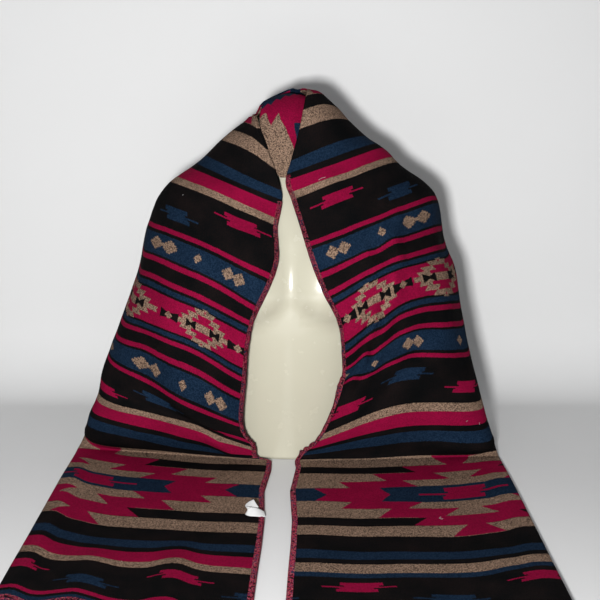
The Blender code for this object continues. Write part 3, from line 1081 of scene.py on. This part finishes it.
@dataclass
class ShawlHalf:
    """One half of the shawl: from the middle of the back, over the shoulder, to its hem on the table."""

    side: int
    rows: Sequence[Row]
    creases: Sequence[Crease]
    waves: Sequence[Wave]
    slips: Sequence[Slip]
    inner_x: float
    outer_x: float
    start: tuple[float, float]
    band: tuple[float, float]
    columns: int = 16
    hanging_rows: int = 45
    lying_rows: int = 40

    def front(self, obstacles: Sequence[tuple[BVHTree, float]]) -> tuple[Grid, Grid, Grid]:
        """The hanging stretch.

        Args:
            obstacles: what lies under it, each with its clearance.

        Returns:
            Its points, and for each point the distance across and along the cloth.
        """
        along = np.array([row.along for row in self.rows]) * MM
        wanted = np.linspace(0.0, along[-1], self.hanging_rows)[:-1]
        corners = np.array([[row.inner, row.middle, row.side, row.fold] for row in self.rows]) * MM
        tuck = smooth(along, np.array([row.tuck for row in self.rows]) * MM, wanted)
        placed = np.stack([smooth(along, corners[:, k], wanted) for k in range(4)], axis=1)
        side, fold = placed[:, 2], placed[:, 3]
        bulge = BACK_ROUNDING * np.linalg.norm(fold - side, axis=1)
        back = (side + fold) / 2
        back[:, 1] += bulge
        back[:, 2] += BACK_LIFT * bulge
        placed = np.insert(placed, 3, back, axis=1)
        grid = np.stack([evenly_across(points, self.columns) for points in placed])
        share = np.linspace(0.0, 1.0, self.columns + 1)
        across = tuck[:, None] + (Shawl.FOLDED_WIDTH - tuck[:, None]) * share
        down = np.repeat(wanted[:, None], self.columns + 1, axis=1)
        grid = grid - grid_normals(grid) * self.side * self.pressed(across, down)[..., None]
        grid = settle(grid, obstacles, Shawl.DOUBLE_CLOTH)
        grid[..., 2] = np.maximum(grid[..., 2], Shawl.DOUBLE_CLOTH + FLOOR_CLEARANCE)
        grid[0, :, 0] = 0.0
        return grid, across, down

    def pressed(self, across: Grid, along: Grid) -> Grid:
        """Add up the soft creases.

        Args:
            across: distance across the cloth of each point.
            along: distance along it.

        Returns:
            How far the creases push the cloth in at each point.
        """
        depth = np.zeros_like(across)
        for crease in self.creases:
            start = np.array([crease.across_0, crease.along_0]) * MM
            line = np.array([crease.across_1, crease.along_1]) * MM - start
            length = np.linalg.norm(line)
            line = line / length
            run = (across - start[0]) * line[0] + (along - start[1]) * line[1]
            off = (across - start[0]) * line[1] - (along - start[1]) * line[0]
            fade = np.clip(np.minimum(run, length - run) / (CREASE_FADE * length) + CREASE_START, 0.0, 1.0)
            fade = fade * fade * (3 - 2 * fade)
            depth += crease.depth * MM * fade * np.exp(-(off / (crease.width * MM))**2)
        return depth

    def end(self) -> tuple[Grid, Grid, Grid]:
        """The stretch on the table.

        Returns:
            Its points, and for each point the distance across and along the cloth.
        """
        share = np.linspace(0.0, 1.0, self.columns + 1)
        start = (self.start[0] + (self.start[1] - self.start[0]) * share) * MM
        band = (self.band[0] + (self.band[1] - self.band[0]) * share) * MM
        hem = band - (Shawl.HALF_LENGTH - Shawl.BAND_ALONG)
        down = np.linspace(0.0, 1.0, self.lying_rows)[1:, None]
        y = start + (hem - start) * down
        drift_y, drift_x = np.array(Shawl.EDGE_DRIFT[::-1], dtype=float).T * MM
        drift = np.interp(y, drift_y, drift_x) * (1 - share)
        x = (self.inner_x + (self.outer_x - self.inner_x) * share) * MM + drift
        lift = np.zeros_like(y)
        for wave in self.waves:
            rise = np.clip((wave.from_y * MM - y) / WAVE_RISE, 0.0, 1.0)
            profile = np.exp(-((share * Shawl.FOLDED_WIDTH - wave.across * MM) / (wave.width * MM))**2)
            lift += wave.height * MM * rise**2 * (3 - 2 * rise) * profile
        points = np.stack([x, y, Shawl.DOUBLE_CLOTH + lift], axis=2)
        across = np.broadcast_to(share * Shawl.FOLDED_WIDTH, y.shape)
        return points, across, Shawl.BAND_ALONG + band - y

    def whole(self, obstacles: Sequence[tuple[BVHTree, float]]) -> tuple[Grid, Grid, Grid]:
        """Join both stretches, from the middle of the back to the hem.

        Args:
            obstacles: what lies under the cloth, each with its clearance.

        Returns:
            Its points, and for each point the distance across and along the weave.
        """
        hanging, lying = self.front(obstacles), self.end()
        points, across, along = (np.concatenate(pair) for pair in zip(hanging, lying))
        return points, across, self.crept(across, along) * self.side

    def crept(self, across: Grid, along: Grid) -> Grid:
        """Take the slips off the distance along the cloth.

        Args:
            across: distance across the cloth of each point.
            along: distance along it.

        Returns:
            The place along the weave at each point.
        """
        table = np.array(self.slips, dtype=float) * MM
        places = np.linspace(0.0, Shawl.FOLDED_WIDTH, 4)
        spread = smooth(table[:, 0], table[:, 1:], np.clip(along.ravel(), 0.0, table[-1, 0]))
        share = np.clip(across.ravel(), 0.0, Shawl.FOLDED_WIDTH)
        column = np.minimum(np.searchsorted(places, share, side="right") - 1, 2)
        t = (share - places[column]) / places[1]
        t = t * t * (3 - 2 * t)
        rows = np.arange(len(share))
        slip = spread[rows, column] * (1 - t) + spread[rows, column + 1] * t
        return along - slip.reshape(along.shape)


@dataclass
class Shawl:
    """The long cloth: one rectangle folded along its length, a wall two layers thick."""

    FOLDED_WIDTH = 0.27
    HALF_LENGTH = 1.102
    DOUBLE_CLOTH = 0.0044
    BAND_ALONG = 0.797
    EDGE_DRIFT = [(-94, 5), (-130, 7), (-204, 0), (-286, 3), (-349, 2), (-406, 0), (-520, -3)]

    left: ShawlHalf
    right: ShawlHalf
    layer: float = 0.0020
    clearance: float = 0.0006
    fine_rows: int = 400
    fine_columns: int = 44
    fold_steps: int = 7

    def build(self, obstacles: Sequence[tuple[BVHTree, float]], material: bpy.types.Material
              ) -> "FreeEdges":
        """Make the cloth.

        Args:
            obstacles: what lies under it, each with its clearance.
            material: its finish.

        Returns:
            Its free edges, for the stitching.
        """
        left, right = self.left.whole(obstacles), self.right.whole(obstacles)
        points, across, along = (np.concatenate([a[::-1], b[1:]]) for a, b in zip(left, right))
        rows = np.linspace(0, len(points) - 1, self.fine_rows)
        grid = refine(points, rows, self.fine_columns)
        across = refine(across[..., None], rows, self.fine_columns)[..., 0]
        along = refine(along[..., None], rows, self.fine_columns)[..., 0]
        grid = self.ruffled(grid, across, along)
        grid = push_clear(grid, [(tree, self.clearance) for tree, _ in obstacles], self.DOUBLE_CLOTH)
        grid[..., 2] = np.maximum(grid[..., 2], self.DOUBLE_CLOTH)
        normals = grid_normals(grid)
        self.cloth = self.folded_wall(grid, normals, across, along)
        place_piece(self.cloth, material, "shawl", "left_front", "right_front", "left_end", "right_end")
        return FreeEdges(grid, normals, across, along)

    def ruffled(self, grid: Grid, across: Grid, along: Grid) -> Grid:
        """Add the small soft unevenness of handled cloth.

        Args:
            grid: points of the cloth.
            across: distance across the cloth of each point.
            along: distance along it.

        Returns:
            The uneven points.
        """
        normals = grid_normals(grid)
        shift = np.zeros(grid.shape[:2])
        for index in np.ndindex(shift.shape):
            u, v = across[index], along[index]
            broad = noise.noise(Vector((u * 14.0, v * 9.0, 3.1)))
            small = noise.noise(Vector((u * 46.0, v * 40.0, 7.7)))
            pucker = math.sin(abs(v) * 2 * math.pi / 0.017 + 3.0 * broad) * math.exp(-(u / 0.009)**2)
            lying = 0.35 if abs(v) > 0.66 else 1.0
            shift[index] = (0.0013 * broad + 0.00045 * small) * lying + 0.0006 * pucker * lying
        return grid + normals * np.clip(shift, -0.0015, 0.0022)[..., None]

    def folded_wall(self, grid: Grid, normals: Grid, across: Grid, along: Grid) -> bpy.types.Object:
        """Close a wall round both layers, joined at the fold and open at the free edges.

        Args:
            grid: points of the outer face.
            normals: directions out of the cloth.
            across: distance across the cloth of each point.
            along: distance along it.

        Returns:
            The cloth.
        """
        rows, columns = grid.shape[:2]
        thick = self.DOUBLE_CLOTH
        gap = thick - 2 * self.layer
        out = unit(grid[:, -1] - grid[:, -2])[:, None, :]
        inward = unit(grid[:, 1] - grid[:, 0])[:, None, :]
        level = [grid - normals * depth for depth in (0.0, self.layer, self.layer + gap, thick)]
        turn = np.linspace(0.0, math.pi, self.fold_steps)[None, 1:-1, None]
        centre = (grid - normals * (thick / 2))[:, -1:]
        up = normals[:, -1:]

        def arc(radius: float) -> Grid:
            """Points round the fold at one radius."""
            return centre + up * radius * np.cos(turn) + out * radius * np.sin(turn)

        outside = np.concatenate([level[0], arc(thick / 2), level[3][:, ::-1]], axis=1)
        inside = np.concatenate([level[1], arc(gap / 2), level[2][:, ::-1]], axis=1)
        first_edge = (outside[:, :1] + inside[:, :1]) / 2 - inward * self.layer * 0.4
        last_edge = (outside[:, -1:] + inside[:, -1:]) / 2 - inward * self.layer * 0.4
        ring = np.concatenate([outside, last_edge, inside[:, ::-1], first_edge], axis=1)
        ring[..., 2] = np.maximum(ring[..., 2], 0.0)
        arcs = np.linspace(0.0, math.pi * thick / 2, self.fold_steps)[None, 1:-1] + across[:, -1:]
        width = np.concatenate([across, arcs, arcs[:, -1:] + (across[:, -1:] - across[:, ::-1])], axis=1)
        round_fold = np.repeat(along[:, -1:], self.fold_steps - 2, axis=1)
        length = np.concatenate([along, round_fold, along[:, ::-1]], axis=1)
        place = np.stack([width, length], axis=2)
        places = np.concatenate([place, place[:, -1:], place[:, ::-1], place[:, :1]], axis=1)
        around, strip = ring.shape[1], outside.shape[1]
        faces = grid_faces(rows, around, closed=True)
        for base in (0, (rows - 1) * around):
            partner = [base + around - 2 - k for k in range(strip)]
            for k in range(strip - 1):
                faces.append((base + k, base + k + 1, partner[k + 1], partner[k]))
            faces.append((base + strip - 1, base + strip, partner[strip - 1]))
            faces.append((base, partner[0], base + around - 1))
        return make_object("folded_shawl", ring, faces, places.reshape(-1, 2))


@dataclass
class FreeEdges:
    """The fine grid of the cloth, for what is sewn to its edges."""

    grid: Grid
    normals: Grid
    across: Grid
    along: Grid

    def at(self, across: float, along: float) -> tuple[Grid, Grid]:
        """Find a place on the cloth.

        Args:
            across: distance across the cloth, in metres.
            along: distance along it, in metres.

        Returns:
            The nearest point of the grid and the normal there.
        """
        index = np.unravel_index(
            np.argmin((self.across - across)**2 + (self.along - along)**2), self.across.shape)
        return self.grid[index], self.normals[index]


@dataclass
class EdgeStitching:
    """Overlock stitches over the raw edges of both layers and of the hems."""

    edges: FreeEdges
    finish: ThreadFinish = field(default_factory=ThreadFinish)
    pitch: float = 0.0014
    reach: float = 0.0052
    radius: float = 0.00052
    first_along: float = 0.165
    layers: tuple[float, float] = (0.0, 0.0024)

    def run(self, line: Grid, inward: Grid, normal: Grid, where: Grid, layer: float
            ) -> tuple[Grid, Grid]:
        """Stitches along one edge line.

        Args:
            line: points along the edge.
            inward: directions from the edge into the cloth.
            normal: directions out of the cloth.
            where: the place along the cloth of each point.
            layer: how deep under the surface the layer's own face lies.

        Returns:
            Centre points of every stitch, and a place for each.
        """
        run = np.concatenate([[0.0], np.cumsum(np.linalg.norm(np.diff(line, axis=0), axis=1))])
        at = np.arange(self.pitch / 2, run[-1], self.pitch)

        def read(values: Grid) -> Grid:
            """The values at each stitch."""
            return np.stack([np.interp(at, run, values[:, k]) for k in range(values.shape[1])], axis=1)

        edge, into, out, place = read(line), unit(read(inward)), unit(read(normal)), read(where)
        step = unit(np.gradient(edge, axis=0))
        bars = [(self.reach, 0.0002, -0.9), (self.reach * 0.55, 0.0006, -0.3), (0.0008, 0.0006, 0.3),
                (-0.0010, -0.0006, 0.6), (-0.0008, -0.0016, 0.6), (0.0006, -0.0024, 0.4)]
        path = [edge + into * a + out * (b - layer) + step * c * self.pitch * 0.5 for a, b, c in bars]
        return np.stack(path, axis=1), place

    def build(self) -> bpy.types.Object:
        """Make all the stitches as one piece.

        Returns:
            The piece.
        """
        e = self.edges
        paths, places = [], []
        inward = unit(e.grid[:, 2] - e.grid[:, 0])
        for chosen in (e.along[:, 0] < -self.first_along, e.along[:, 0] > self.first_along):
            for layer in self.layers:
                where = np.stack([e.across[chosen, 0] + layer, e.along[chosen, 0]], axis=1)
                path, place = self.run(e.grid[chosen, 0], inward[chosen], e.normals[chosen, 0], where, layer)
                paths.append(path)
                places.append(place)
        for row, beside in ((0, 2), (-1, -3)):
            where = np.stack([e.across[row], e.along[row]], axis=1)
            toward = unit(e.grid[beside] - e.grid[row])
            path, place = self.run(e.grid[row], toward, e.normals[row], where, 0.0)
            paths.append(path)
            places.append(place)
        path, place = np.concatenate(paths), np.concatenate(places)
        path[..., 2] = np.maximum(path[..., 2], self.radius)
        thing = tubes("edge_stitching", path, place, self.radius, TUBE_SIDES)
        place_piece(thing, self.finish.dress("edge_thread"), "shawl")
        log.info("edge stitching: %d stitches", len(path))
        return thing


def tubes(name: str, paths: Grid, places: Grid, radius: float, sides: int) -> bpy.types.Object:
    """Many short tubes as one piece.

    Args:
        name: the piece's name.
        paths: for each tube, the points it follows.
        places: for each tube, its place on the cloth.
        radius: half the thickness.
        sides: how many sides each tube has.

    Returns:
        The piece.
    """
    count, steps = paths.shape[:2]
    ahead = unit(np.gradient(paths, axis=1))
    side = unit(np.cross(ahead, np.array([0.31, 0.72, 0.62])))
    up = np.cross(ahead, side)
    turn = np.linspace(0.0, 2 * math.pi, sides, endpoint=False)
    ring = (side[:, :, None] * np.cos(turn)[None, None, :, None]
            + up[:, :, None] * np.sin(turn)[None, None, :, None])
    points = paths[:, :, None] + ring * radius
    faces = []
    for tube in range(count):
        base = tube * steps * sides
        faces += [tuple(base + k for k in face) for face in grid_faces(steps, sides, closed=True)]
        faces.append(tuple(base + k for k in range(sides)))
        faces.append(tuple(base + (steps - 1) * sides + k for k in range(sides)))
    spread = np.repeat(places, steps * sides, axis=0)
    return make_object(name, points, faces, spread)


@dataclass
class NeckFold:
    """The tucked middle of the shawl over the neck stub."""

    rows: Sequence[NeckRow]
    radius: float = 0.050
    clearance: float = 0.0009
    coarse_rows: int = 20
    coarse_columns: int = 11
    fine_rows: int = 90
    fine_columns: int = 40

    def build(self, form: BVHTree, material: bpy.types.Material) -> BVHTree:
        """Make the tuck.

        Args:
            form: search tree of the dress form.
            material: its finish.

        Returns:
            A search tree of its outer side.
        """
        table = np.array(self.rows, dtype=float) * MM
        place = smooth(np.arange(len(table)), table, np.linspace(0, len(table) - 1, self.coarse_rows))
        across = np.linspace(-1.0, 1.0, self.coarse_columns)
        grid = np.zeros((self.coarse_rows, self.coarse_columns, 3))
        for row, (height, depth, middle, half_width) in enumerate(place):
            offset = across * half_width
            back = offset**2 / (2 * self.radius)
            grid[row, :, 0] = middle + offset
            grid[row, :, 1] = depth + back * np.clip(-depth / self.radius, 0.0, 1.0)
            grid[row, :, 2] = height - back * np.clip(1 + depth / self.radius, 0.0, 1.0)
        grid = settle(grid, [(form, self.clearance)], Shawl.DOUBLE_CLOTH)
        fine = refine(grid, np.linspace(0, self.coarse_rows - 1, self.fine_rows), self.fine_columns)
        normals = -grid_normals(fine)
        under = fine - normals * Shawl.DOUBLE_CLOTH
        ring = np.concatenate([fine, under[:, ::-1]], axis=1)
        faces = grid_faces(self.fine_rows, 2 * self.fine_columns, closed=True)
        for base in (0, (self.fine_rows - 1) * 2 * self.fine_columns):
            faces.append(tuple(base + k for k in range(2 * self.fine_columns)))
        step = np.linalg.norm(np.diff(fine[:, self.fine_columns // 2], axis=0), axis=1)
        up = np.concatenate([[0.0], np.cumsum(step)])
        width = np.linspace(-1.0, 1.0, self.fine_columns)[None] * np.linalg.norm(
            fine[:, -1:] - fine[:, :1], axis=2) / 2
        spot = np.stack([width, np.repeat(up[:, None], self.fine_columns, axis=1)], axis=2)
        places = np.concatenate([spot, spot[:, ::-1]], axis=1)
        self.cloth = make_object("neck_tuck", ring, faces, places.reshape(-1, 2))
        place_piece(self.cloth, material, "shawl", "neck_fold")
        self.flat = (float(2 * width[:, -1].mean()), float(up[-1]))
        log.info("neck tuck: %.3f x %.3f m", *self.flat)
        return tree_of(grid, grid_faces(self.coarse_rows, self.coarse_columns))


@dataclass
class CareLabel:
    """A blank folded ribbon caught at the free edge of the left end.

    Its path is its middle line, in mm, with how far the ribbon is tilted up there, in degrees.
    """

    finish: RibbonFinish = field(default_factory=RibbonFinish)
    width: float = 0.011
    thickness: float = 0.0006
    hollow: float = 0.0006
    steps: int = 49
    columns: int = 9
    path: Sequence[tuple[float, float, float, float]] = (
        (-29, -274, 6.0, 6), (-33, -275, 7.4, 22), (-39, -276, 9.2, 40), (-45, -276, 9.8, 46),
        (-48, -274, 10.6, 46), (-46.5, -270, 12.4, 44), (-43, -266, 13.6, 40), (-39, -263, 14.4, 36))

    def build(self) -> bpy.types.Object:
        """Make the ribbon.

        Returns:
            The piece.
        """
        knots = np.array(self.path)
        table = smooth(np.arange(len(knots)), knots, np.linspace(0, len(knots) - 1, self.steps))
        line, tilt = table[:, :3] * MM, np.radians(table[:, 3])
        ahead = unit(np.gradient(line, axis=0))
        wide = np.stack([np.zeros(len(line)), np.cos(tilt), np.sin(tilt)], axis=1)
        wide = unit(wide - ahead * np.sum(wide * ahead, axis=1, keepdims=True))
        out = np.cross(wide, ahead)
        share = np.linspace(-0.5, 0.5, self.columns)
        cup = self.hollow * (1 - 4 * share**2)[None] * np.linspace(0, 1, len(line))[:, None]
        across = wide[:, None] * share[None, :, None] * self.width
        middle = line[:, None] + across + out[:, None] * cup[..., None]
        sheets = [middle + out[:, None] * offset * self.thickness for offset in (0.5, -0.5)]
        ring = np.concatenate([sheets[0], sheets[1][:, ::-1]], axis=1)
        around = 2 * self.columns
        faces = grid_faces(len(line), around, closed=True)
        faces.append(tuple(range(around)))
        faces.append(tuple((len(line) - 1) * around + k for k in range(around)))
        ribbon = make_object("care_ribbon", ring, faces)
        place_piece(ribbon, self.finish.dress("ribbon_satin"), "ribbon", "care_label")
        return ribbon


class Speck(NamedTuple):
    """One piece of lint: its place on the cloth and length, in metres, and its curl and heading."""

    across: float
    along: float
    length: float
    curl: float
    heading: float


@dataclass
class Lint:
    """A few pale threads and specks caught on the cloth."""

    edges: FreeEdges
    finish: RibbonFinish = RibbonFinish((0.40, 0.40, 0.39, 1.0), (0.26, 0.26, 0.26, 1.0))
    radius: float = 0.00018
    lift: float = 0.0005
    steps: int = 12
    specks: Sequence[Speck] = (
        Speck(0.040, 0.196, 0.010, 0.6, 0.3),
        Speck(0.170, 0.868, 0.010, 4.2, 1.4),
        Speck(0.205, 0.610, 0.003, 0.5, 0.2),
        Speck(0.225, 0.618, 0.003, 0.5, 1.1),
        Speck(0.130, -0.236, 0.002, 0.5, 0.8),
        Speck(0.150, -1.000, 0.002, 0.3, 0.1),
    )

    def build(self) -> bpy.types.Object:
        """Make the lint as one piece, each thread a small curved tube lying on the cloth.

        Returns:
            The piece.
        """
        paths = []
        for speck in self.specks:
            point, normal = self.edges.at(speck.across, speck.along)
            side = unit(np.cross(normal, np.array([0.0, 0.0, 1.0]) + 0.3 * normal[::-1]))
            ahead = np.cross(normal, side)
            angle = speck.heading + np.linspace(0.0, speck.curl, self.steps)
            step = speck.length / (self.steps - 1)
            flat = np.cumsum(np.stack([np.cos(angle), np.sin(angle)], axis=1) * step, axis=0)
            flat -= flat.mean(axis=0)
            paths.append(point + normal * self.lift + flat[:, :1] * side + flat[:, 1:] * ahead)
        thing = tubes("lint", np.array(paths), np.zeros((len(paths), 2)), self.radius, TUBE_SIDES)
        place_piece(thing, self.finish.dress("lint_fibre"), "ribbon")
        return thing


# The whole shawl and its studio.

LEFT_HALF = ShawlHalf(
    side=-1,
    rows=[
        Row(0, 150, (0, 26, 474), (0, 52, 460), (0, 73, 426), (0, 88, 380)),
        Row(20, 146, (-24, 24, 461), (-27, 44, 452), (-20, 68, 425), (-12, 91, 378)),
        Row(40, 138, (-38, 8, 447), (-46, 30, 443), (-38, 60, 424), (-23, 92, 376)),
        Row(80, 100, (-42, -42, 438), (-54, -18, 441), (-60, 25, 436), (-48, 91, 368)),
        Row(114, 45, (-21, -69, 387), (-45, -64, 405), (-87, -5, 417), (-70, 90, 355)),
        Row(144, 15, (-12, -75, 356), (-49, -71, 369), (-114, 0, 392), (-92, 88, 340)),
        Row(177, 0, (-12, -79, 338), (-81, -68, 362), (-134, 0, 376), (-118, 80, 330)),
        Row(222, 0, (-18, -86, 308), (-96, -80, 341), (-164, 0, 356), (-150, 66, 318)),
        Row(292, 0, (-25, -104, 251), (-94, -110, 288), (-194, 0, 304), (-197, 36, 292)),
        Row(358, 0, (-47, -121, 196), (-115, -136, 234), (-208, -20, 238), (-211, 12, 230)),
        Row(398, 0, (-54, -124, 158), (-121, -139, 193), (-220, -28, 200), (-222, 3, 194)),
        Row(438, 0, (-57, -122, 123), (-138, -137, 164), (-231, -36, 167), (-232, -8, 162)),
        Row(505, 0, (-62, -113, 55), (-141, -124, 85), (-249, -50, 119), (-251, -14, 112)),
        Row(575, 0, (-47, -107, 24), (-143, -118, 62), (-261, -60, 74), (-262, -37, 68)),
        Row(620, 0, (-46, -103, 11), (-148, -106, 36), (-273, -64, 48), (-274, -44, 44)),
        Row(660, 0, (-44, -99, 5), (-158, -84, 6), (-284, -52, 8), (-285, -36, 8)),
    ],
    creases=[
        Crease(90, 85, 45, 170, 9, -3),
        Crease(175, 430, 70, 590, 26, 5),
        Crease(120, 415, 40, 560, 24, -5),
        Crease(215, 500, 150, 640, 26, -5),
        Crease(240, 250, 225, 420, 22, 3),
        Crease(60, 590, 20, 640, 14, -6),
    ],
    waves=[Wave(90, 20, 8, -300), Wave(185, 26, 8, -310), Wave(258, 13, 6, -60)],
    slips=[
        Slip(0, 0, 0, 0, 0),
        Slip(60, 22, 22, 22, 22),
        Slip(85, 22, 22, 22, 20),
        Slip(122, 2, 2, 2, 2),
        Slip(150, 0, -4, -2, -2),
        Slip(190, 3, -3, 0, -6),
        Slip(215, 2, -4, -2, -4),
        Slip(292, 2, 0, -3, -4),
        Slip(335, 2, 0, -7, -8),
        Slip(360, 2, 0, -9, -10),
        Slip(395, 2, -5, -13, -14),
        Slip(430, 5, -7, -13, -14),
        Slip(462, 4, -8, -12, -13),
        Slip(502, 3, -10, -17, -20),
        Slip(582, 2, -4, -18, -23),
        Slip(610, 2, -4, -22, -25),
        Slip(645, 4, -6, -26, -28),
        Slip(715, 4, 10, 4, -10),
        Slip(780, 0, 4, 2, -14),
        Slip(880, 0, 6, 7, -12),
        Slip(955, 0, 6, 11, -9),
        Slip(985, -4, -2, 10, -12),
        Slip(1012, -8, -6, 3, -12),
        Slip(1060, -8, -8, -8, -12),
        Slip(1102, -8, -8, -8, -12),
    ],
    inner_x=-33, outer_x=-287, start=(-94, -46), band=(-207, -165),
)
RIGHT_HALF = ShawlHalf(
    side=1,
    rows=[
        Row(0, 150, (0, 26, 474), (0, 52, 460), (0, 73, 426), (0, 88, 380)),
        Row(40, 118, (20, -10, 480), (33, 20, 474), (36, 56, 442), (23, 92, 376)),
        Row(80, 80, (21, -46, 470), (38, -26, 472), (57, 12, 458), (48, 91, 368)),
        Row(114, 40, (13, -63, 434), (40, -53, 442), (75, -4, 440), (70, 90, 358)),
        Row(144, 15, (2, -72, 396), (46, -62, 413), (98, 0, 419), (92, 89, 345)),
        Row(177, 0, (-5, -78, 370), (56, -67, 388), (123, 0, 402), (121, 76, 345)),
        Row(222, 0, (2, -84, 346), (63, -78, 368), (143, 0, 382), (152, 64, 330)),
        Row(292, 0, (21, -101, 290), (93, -104, 319), (195, 0, 339), (200, 30, 318)),
        Row(358, 0, (42, -119, 233), (117, -131, 269), (208, -20, 275), (211, 10, 267)),
        Row(398, 0, (60, -124, 195), (131, -137, 242), (221, -28, 240), (223, 2, 236)),
        Row(438, 0, (66, -122, 147), (134, -137, 200), (228, -36, 198), (228, -4, 190)),
        Row(505, 0, (61, -116, 102), (142, -127, 142), (240, -50, 134), (241, -10, 128)),
        Row(575, 0, (34, -107, 33), (137, -118, 79), (256, -62, 72), (257, -42, 68)),
        Row(620, 0, (16, -102, 15), (138, -112, 46), (264, -74, 42), (265, -58, 40)),
        Row(660, 0, (8, -98, 6), (139, -97, 10), (273, -96, 9), (275, -80, 9)),
    ],
    creases=[
        Crease(96, 300, 8, 520, 8, 10),
        Crease(114, 300, 32, 520, 12, -11),
        Crease(70, 330, 10, 440, 16, -4),
        Crease(150, 420, 60, 580, 18, 4),
        Crease(225, 300, 205, 520, 26, 4),
        Crease(60, 150, 105, 300, 20, 3),
    ],
    waves=[Wave(235, 26, 6, -330), Wave(120, 30, 4, -400), Wave(262, 13, 5, -60)],
    slips=[
        Slip(0, 0, 0, 0, 0),
        Slip(60, 12, 8, 6, 4),
        Slip(85, 12, 8, 6, 3),
        Slip(115, 1, 0, 0, 0),
        Slip(150, 3, 1, -1, 0),
        Slip(190, 3, -1, -1, 0),
        Slip(212, 5, 1, 0, 0),
        Slip(292, 0, -2, 0, 3),
        Slip(335, 1, -4, -5, 0),
        Slip(360, 2, -4, -6, -1),
        Slip(398, 0, -3, -5, -3),
        Slip(437, -2, -4, -4, 2),
        Slip(460, -4, -7, -4, 2),
        Slip(482, -8, -6, -3, 2),
        Slip(504, -10, -7, -4, 4),
        Slip(575, -14, -11, -10, -10),
        Slip(603, -10, -9, -11, -12),
        Slip(635, -8, -12, -18, -18),
        Slip(712, 2, 11, 7, 0),
        Slip(735, 0, 8, 6, -5),
        Slip(780, 2, 6, 5, -6),
        Slip(820, 0, 9, 14, 3),
        Slip(867, -1, 9, 12, 3),
        Slip(915, -5, 6, 11, 0),
        Slip(950, 1, 13, 19, 11),
        Slip(985, 0, 11, 16, 6),
        Slip(1102, 0, 11, 16, 5),
    ],
    inner_x=1, outer_x=274, start=(-94, -74), band=(-215, -196),
)
NECK_ROWS = [
    NeckRow(371, -67, -5, 8),
    NeckRow(388, -66, -8, 18),
    NeckRow(408, -61, -9, 26),
    NeckRow(430, -56, -8, 31),
    NeckRow(452, -46, -6, 33),
    NeckRow(467, -26, -3, 32),
    NeckRow(473, -6, -1, 31),
    NeckRow(473, 12, 0, 29),
    NeckRow(467, 28, 0, 24),
    NeckRow(454, 39, 0, 18),
]


@dataclass
class Studio:
    """Pale table and backdrop, soft lights and the camera."""

    camera_at: tuple[float, float, float] = (0.012, -1.40, 0.5195)
    pitch_down: float = 13.0
    lens: float = 63.0
    aim_at: tuple[float, float, float] = (0.0, -0.05, 0.18)
    room: Colour = (0.93, 0.95, 1.0, 1.0)
    room_strength: float = 0.22
    finish: PaperFinish = field(default_factory=PaperFinish)

    def sweep(self) -> None:
        """Table that curves up into a backdrop behind the form."""
        turn = np.linspace(0.0, math.pi / 2, 14)
        bend = [(0.13 + 0.11 * math.sin(a), 0.11 * (1 - math.cos(a))) for a in turn]
        profile = [(-3.0, 0.0), (0.12, 0.0), *bend, (0.24, 2.6)]
        points = np.array([[(x, y, z) for x in (-3.5, 3.5)] for y, z in profile])
        sweep = make_object("table_and_backdrop", points, grid_faces(len(profile), 2))
        sweep.location.z = -0.0003
        sweep.data.materials.append(self.finish.dress("pale_paper"))

    def lights(self) -> None:
        """A key near the camera, a broad one overhead and a pale world."""
        for name, place, size, power in (("key", (-0.09, -1.46, 0.43), 0.10, 29.0),
                                         ("overhead", (-0.5, -0.7, 1.8), 1.4, 3.5)):
            lamp = bpy.data.lights.new(name, "AREA")
            lamp.size = size
            lamp.energy = power
            thing = bpy.data.objects.new(name, lamp)
            thing.location = place
            aim = Vector(self.aim_at) - Vector(place)
            thing.rotation_euler = aim.to_track_quat("-Z", "Y").to_euler()
            bpy.context.scene.collection.objects.link(thing)
        world = bpy.data.worlds.new("pale_room")
        bpy.context.scene.world = world
        world.use_nodes = True
        background = world.node_tree.nodes["Background"]
        background.inputs[0].default_value = self.room
        background.inputs[1].default_value = self.room_strength

    def camera(self) -> None:
        """The photograph's viewpoint."""
        lens = bpy.data.cameras.new("camera")
        lens.lens = self.lens
        lens.sensor_width = 36.0
        thing = bpy.data.objects.new("camera", lens)
        thing.location = self.camera_at
        thing.rotation_euler = (math.radians(90.0 - self.pitch_down), 0.0, 0.0)
        bpy.context.scene.collection.objects.link(thing)
        bpy.context.scene.camera = thing

    def build(self) -> None:
        """Set up the whole studio."""
        self.sweep()
        self.lights()
        self.camera()
        bpy.context.scene.view_settings.view_transform = "Standard"


def main() -> None:
    """Build the studio, then the form, the cloth and what is sewn to it, in that order."""
    logging.basicConfig(level=logging.INFO, format="%(name)s: %(message)s")
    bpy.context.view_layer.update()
    Studio().build()
    form = DressForm().build()
    woven = WovenFinish()
    surface = woven.surface()
    neck = NeckFold(NECK_ROWS)
    neck_tree = neck.build(form, woven.dress("neck_cloth", NeckChart().group, surface))
    shawl = Shawl(LEFT_HALF, RIGHT_HALF)
    edges = shawl.build([(form, FORM_CLEARANCE), (neck_tree, TUCK_CLEARANCE)],
                        woven.dress("shawl_cloth", ShawlChart().group, surface))
    log.info("shawl: %d faces", len(shawl.cloth.data.polygons))
    stitching = EdgeStitching(edges).build()
    CareLabel().build()
    lint = Lint(edges).build()


if __name__ == "__main__":
    main()
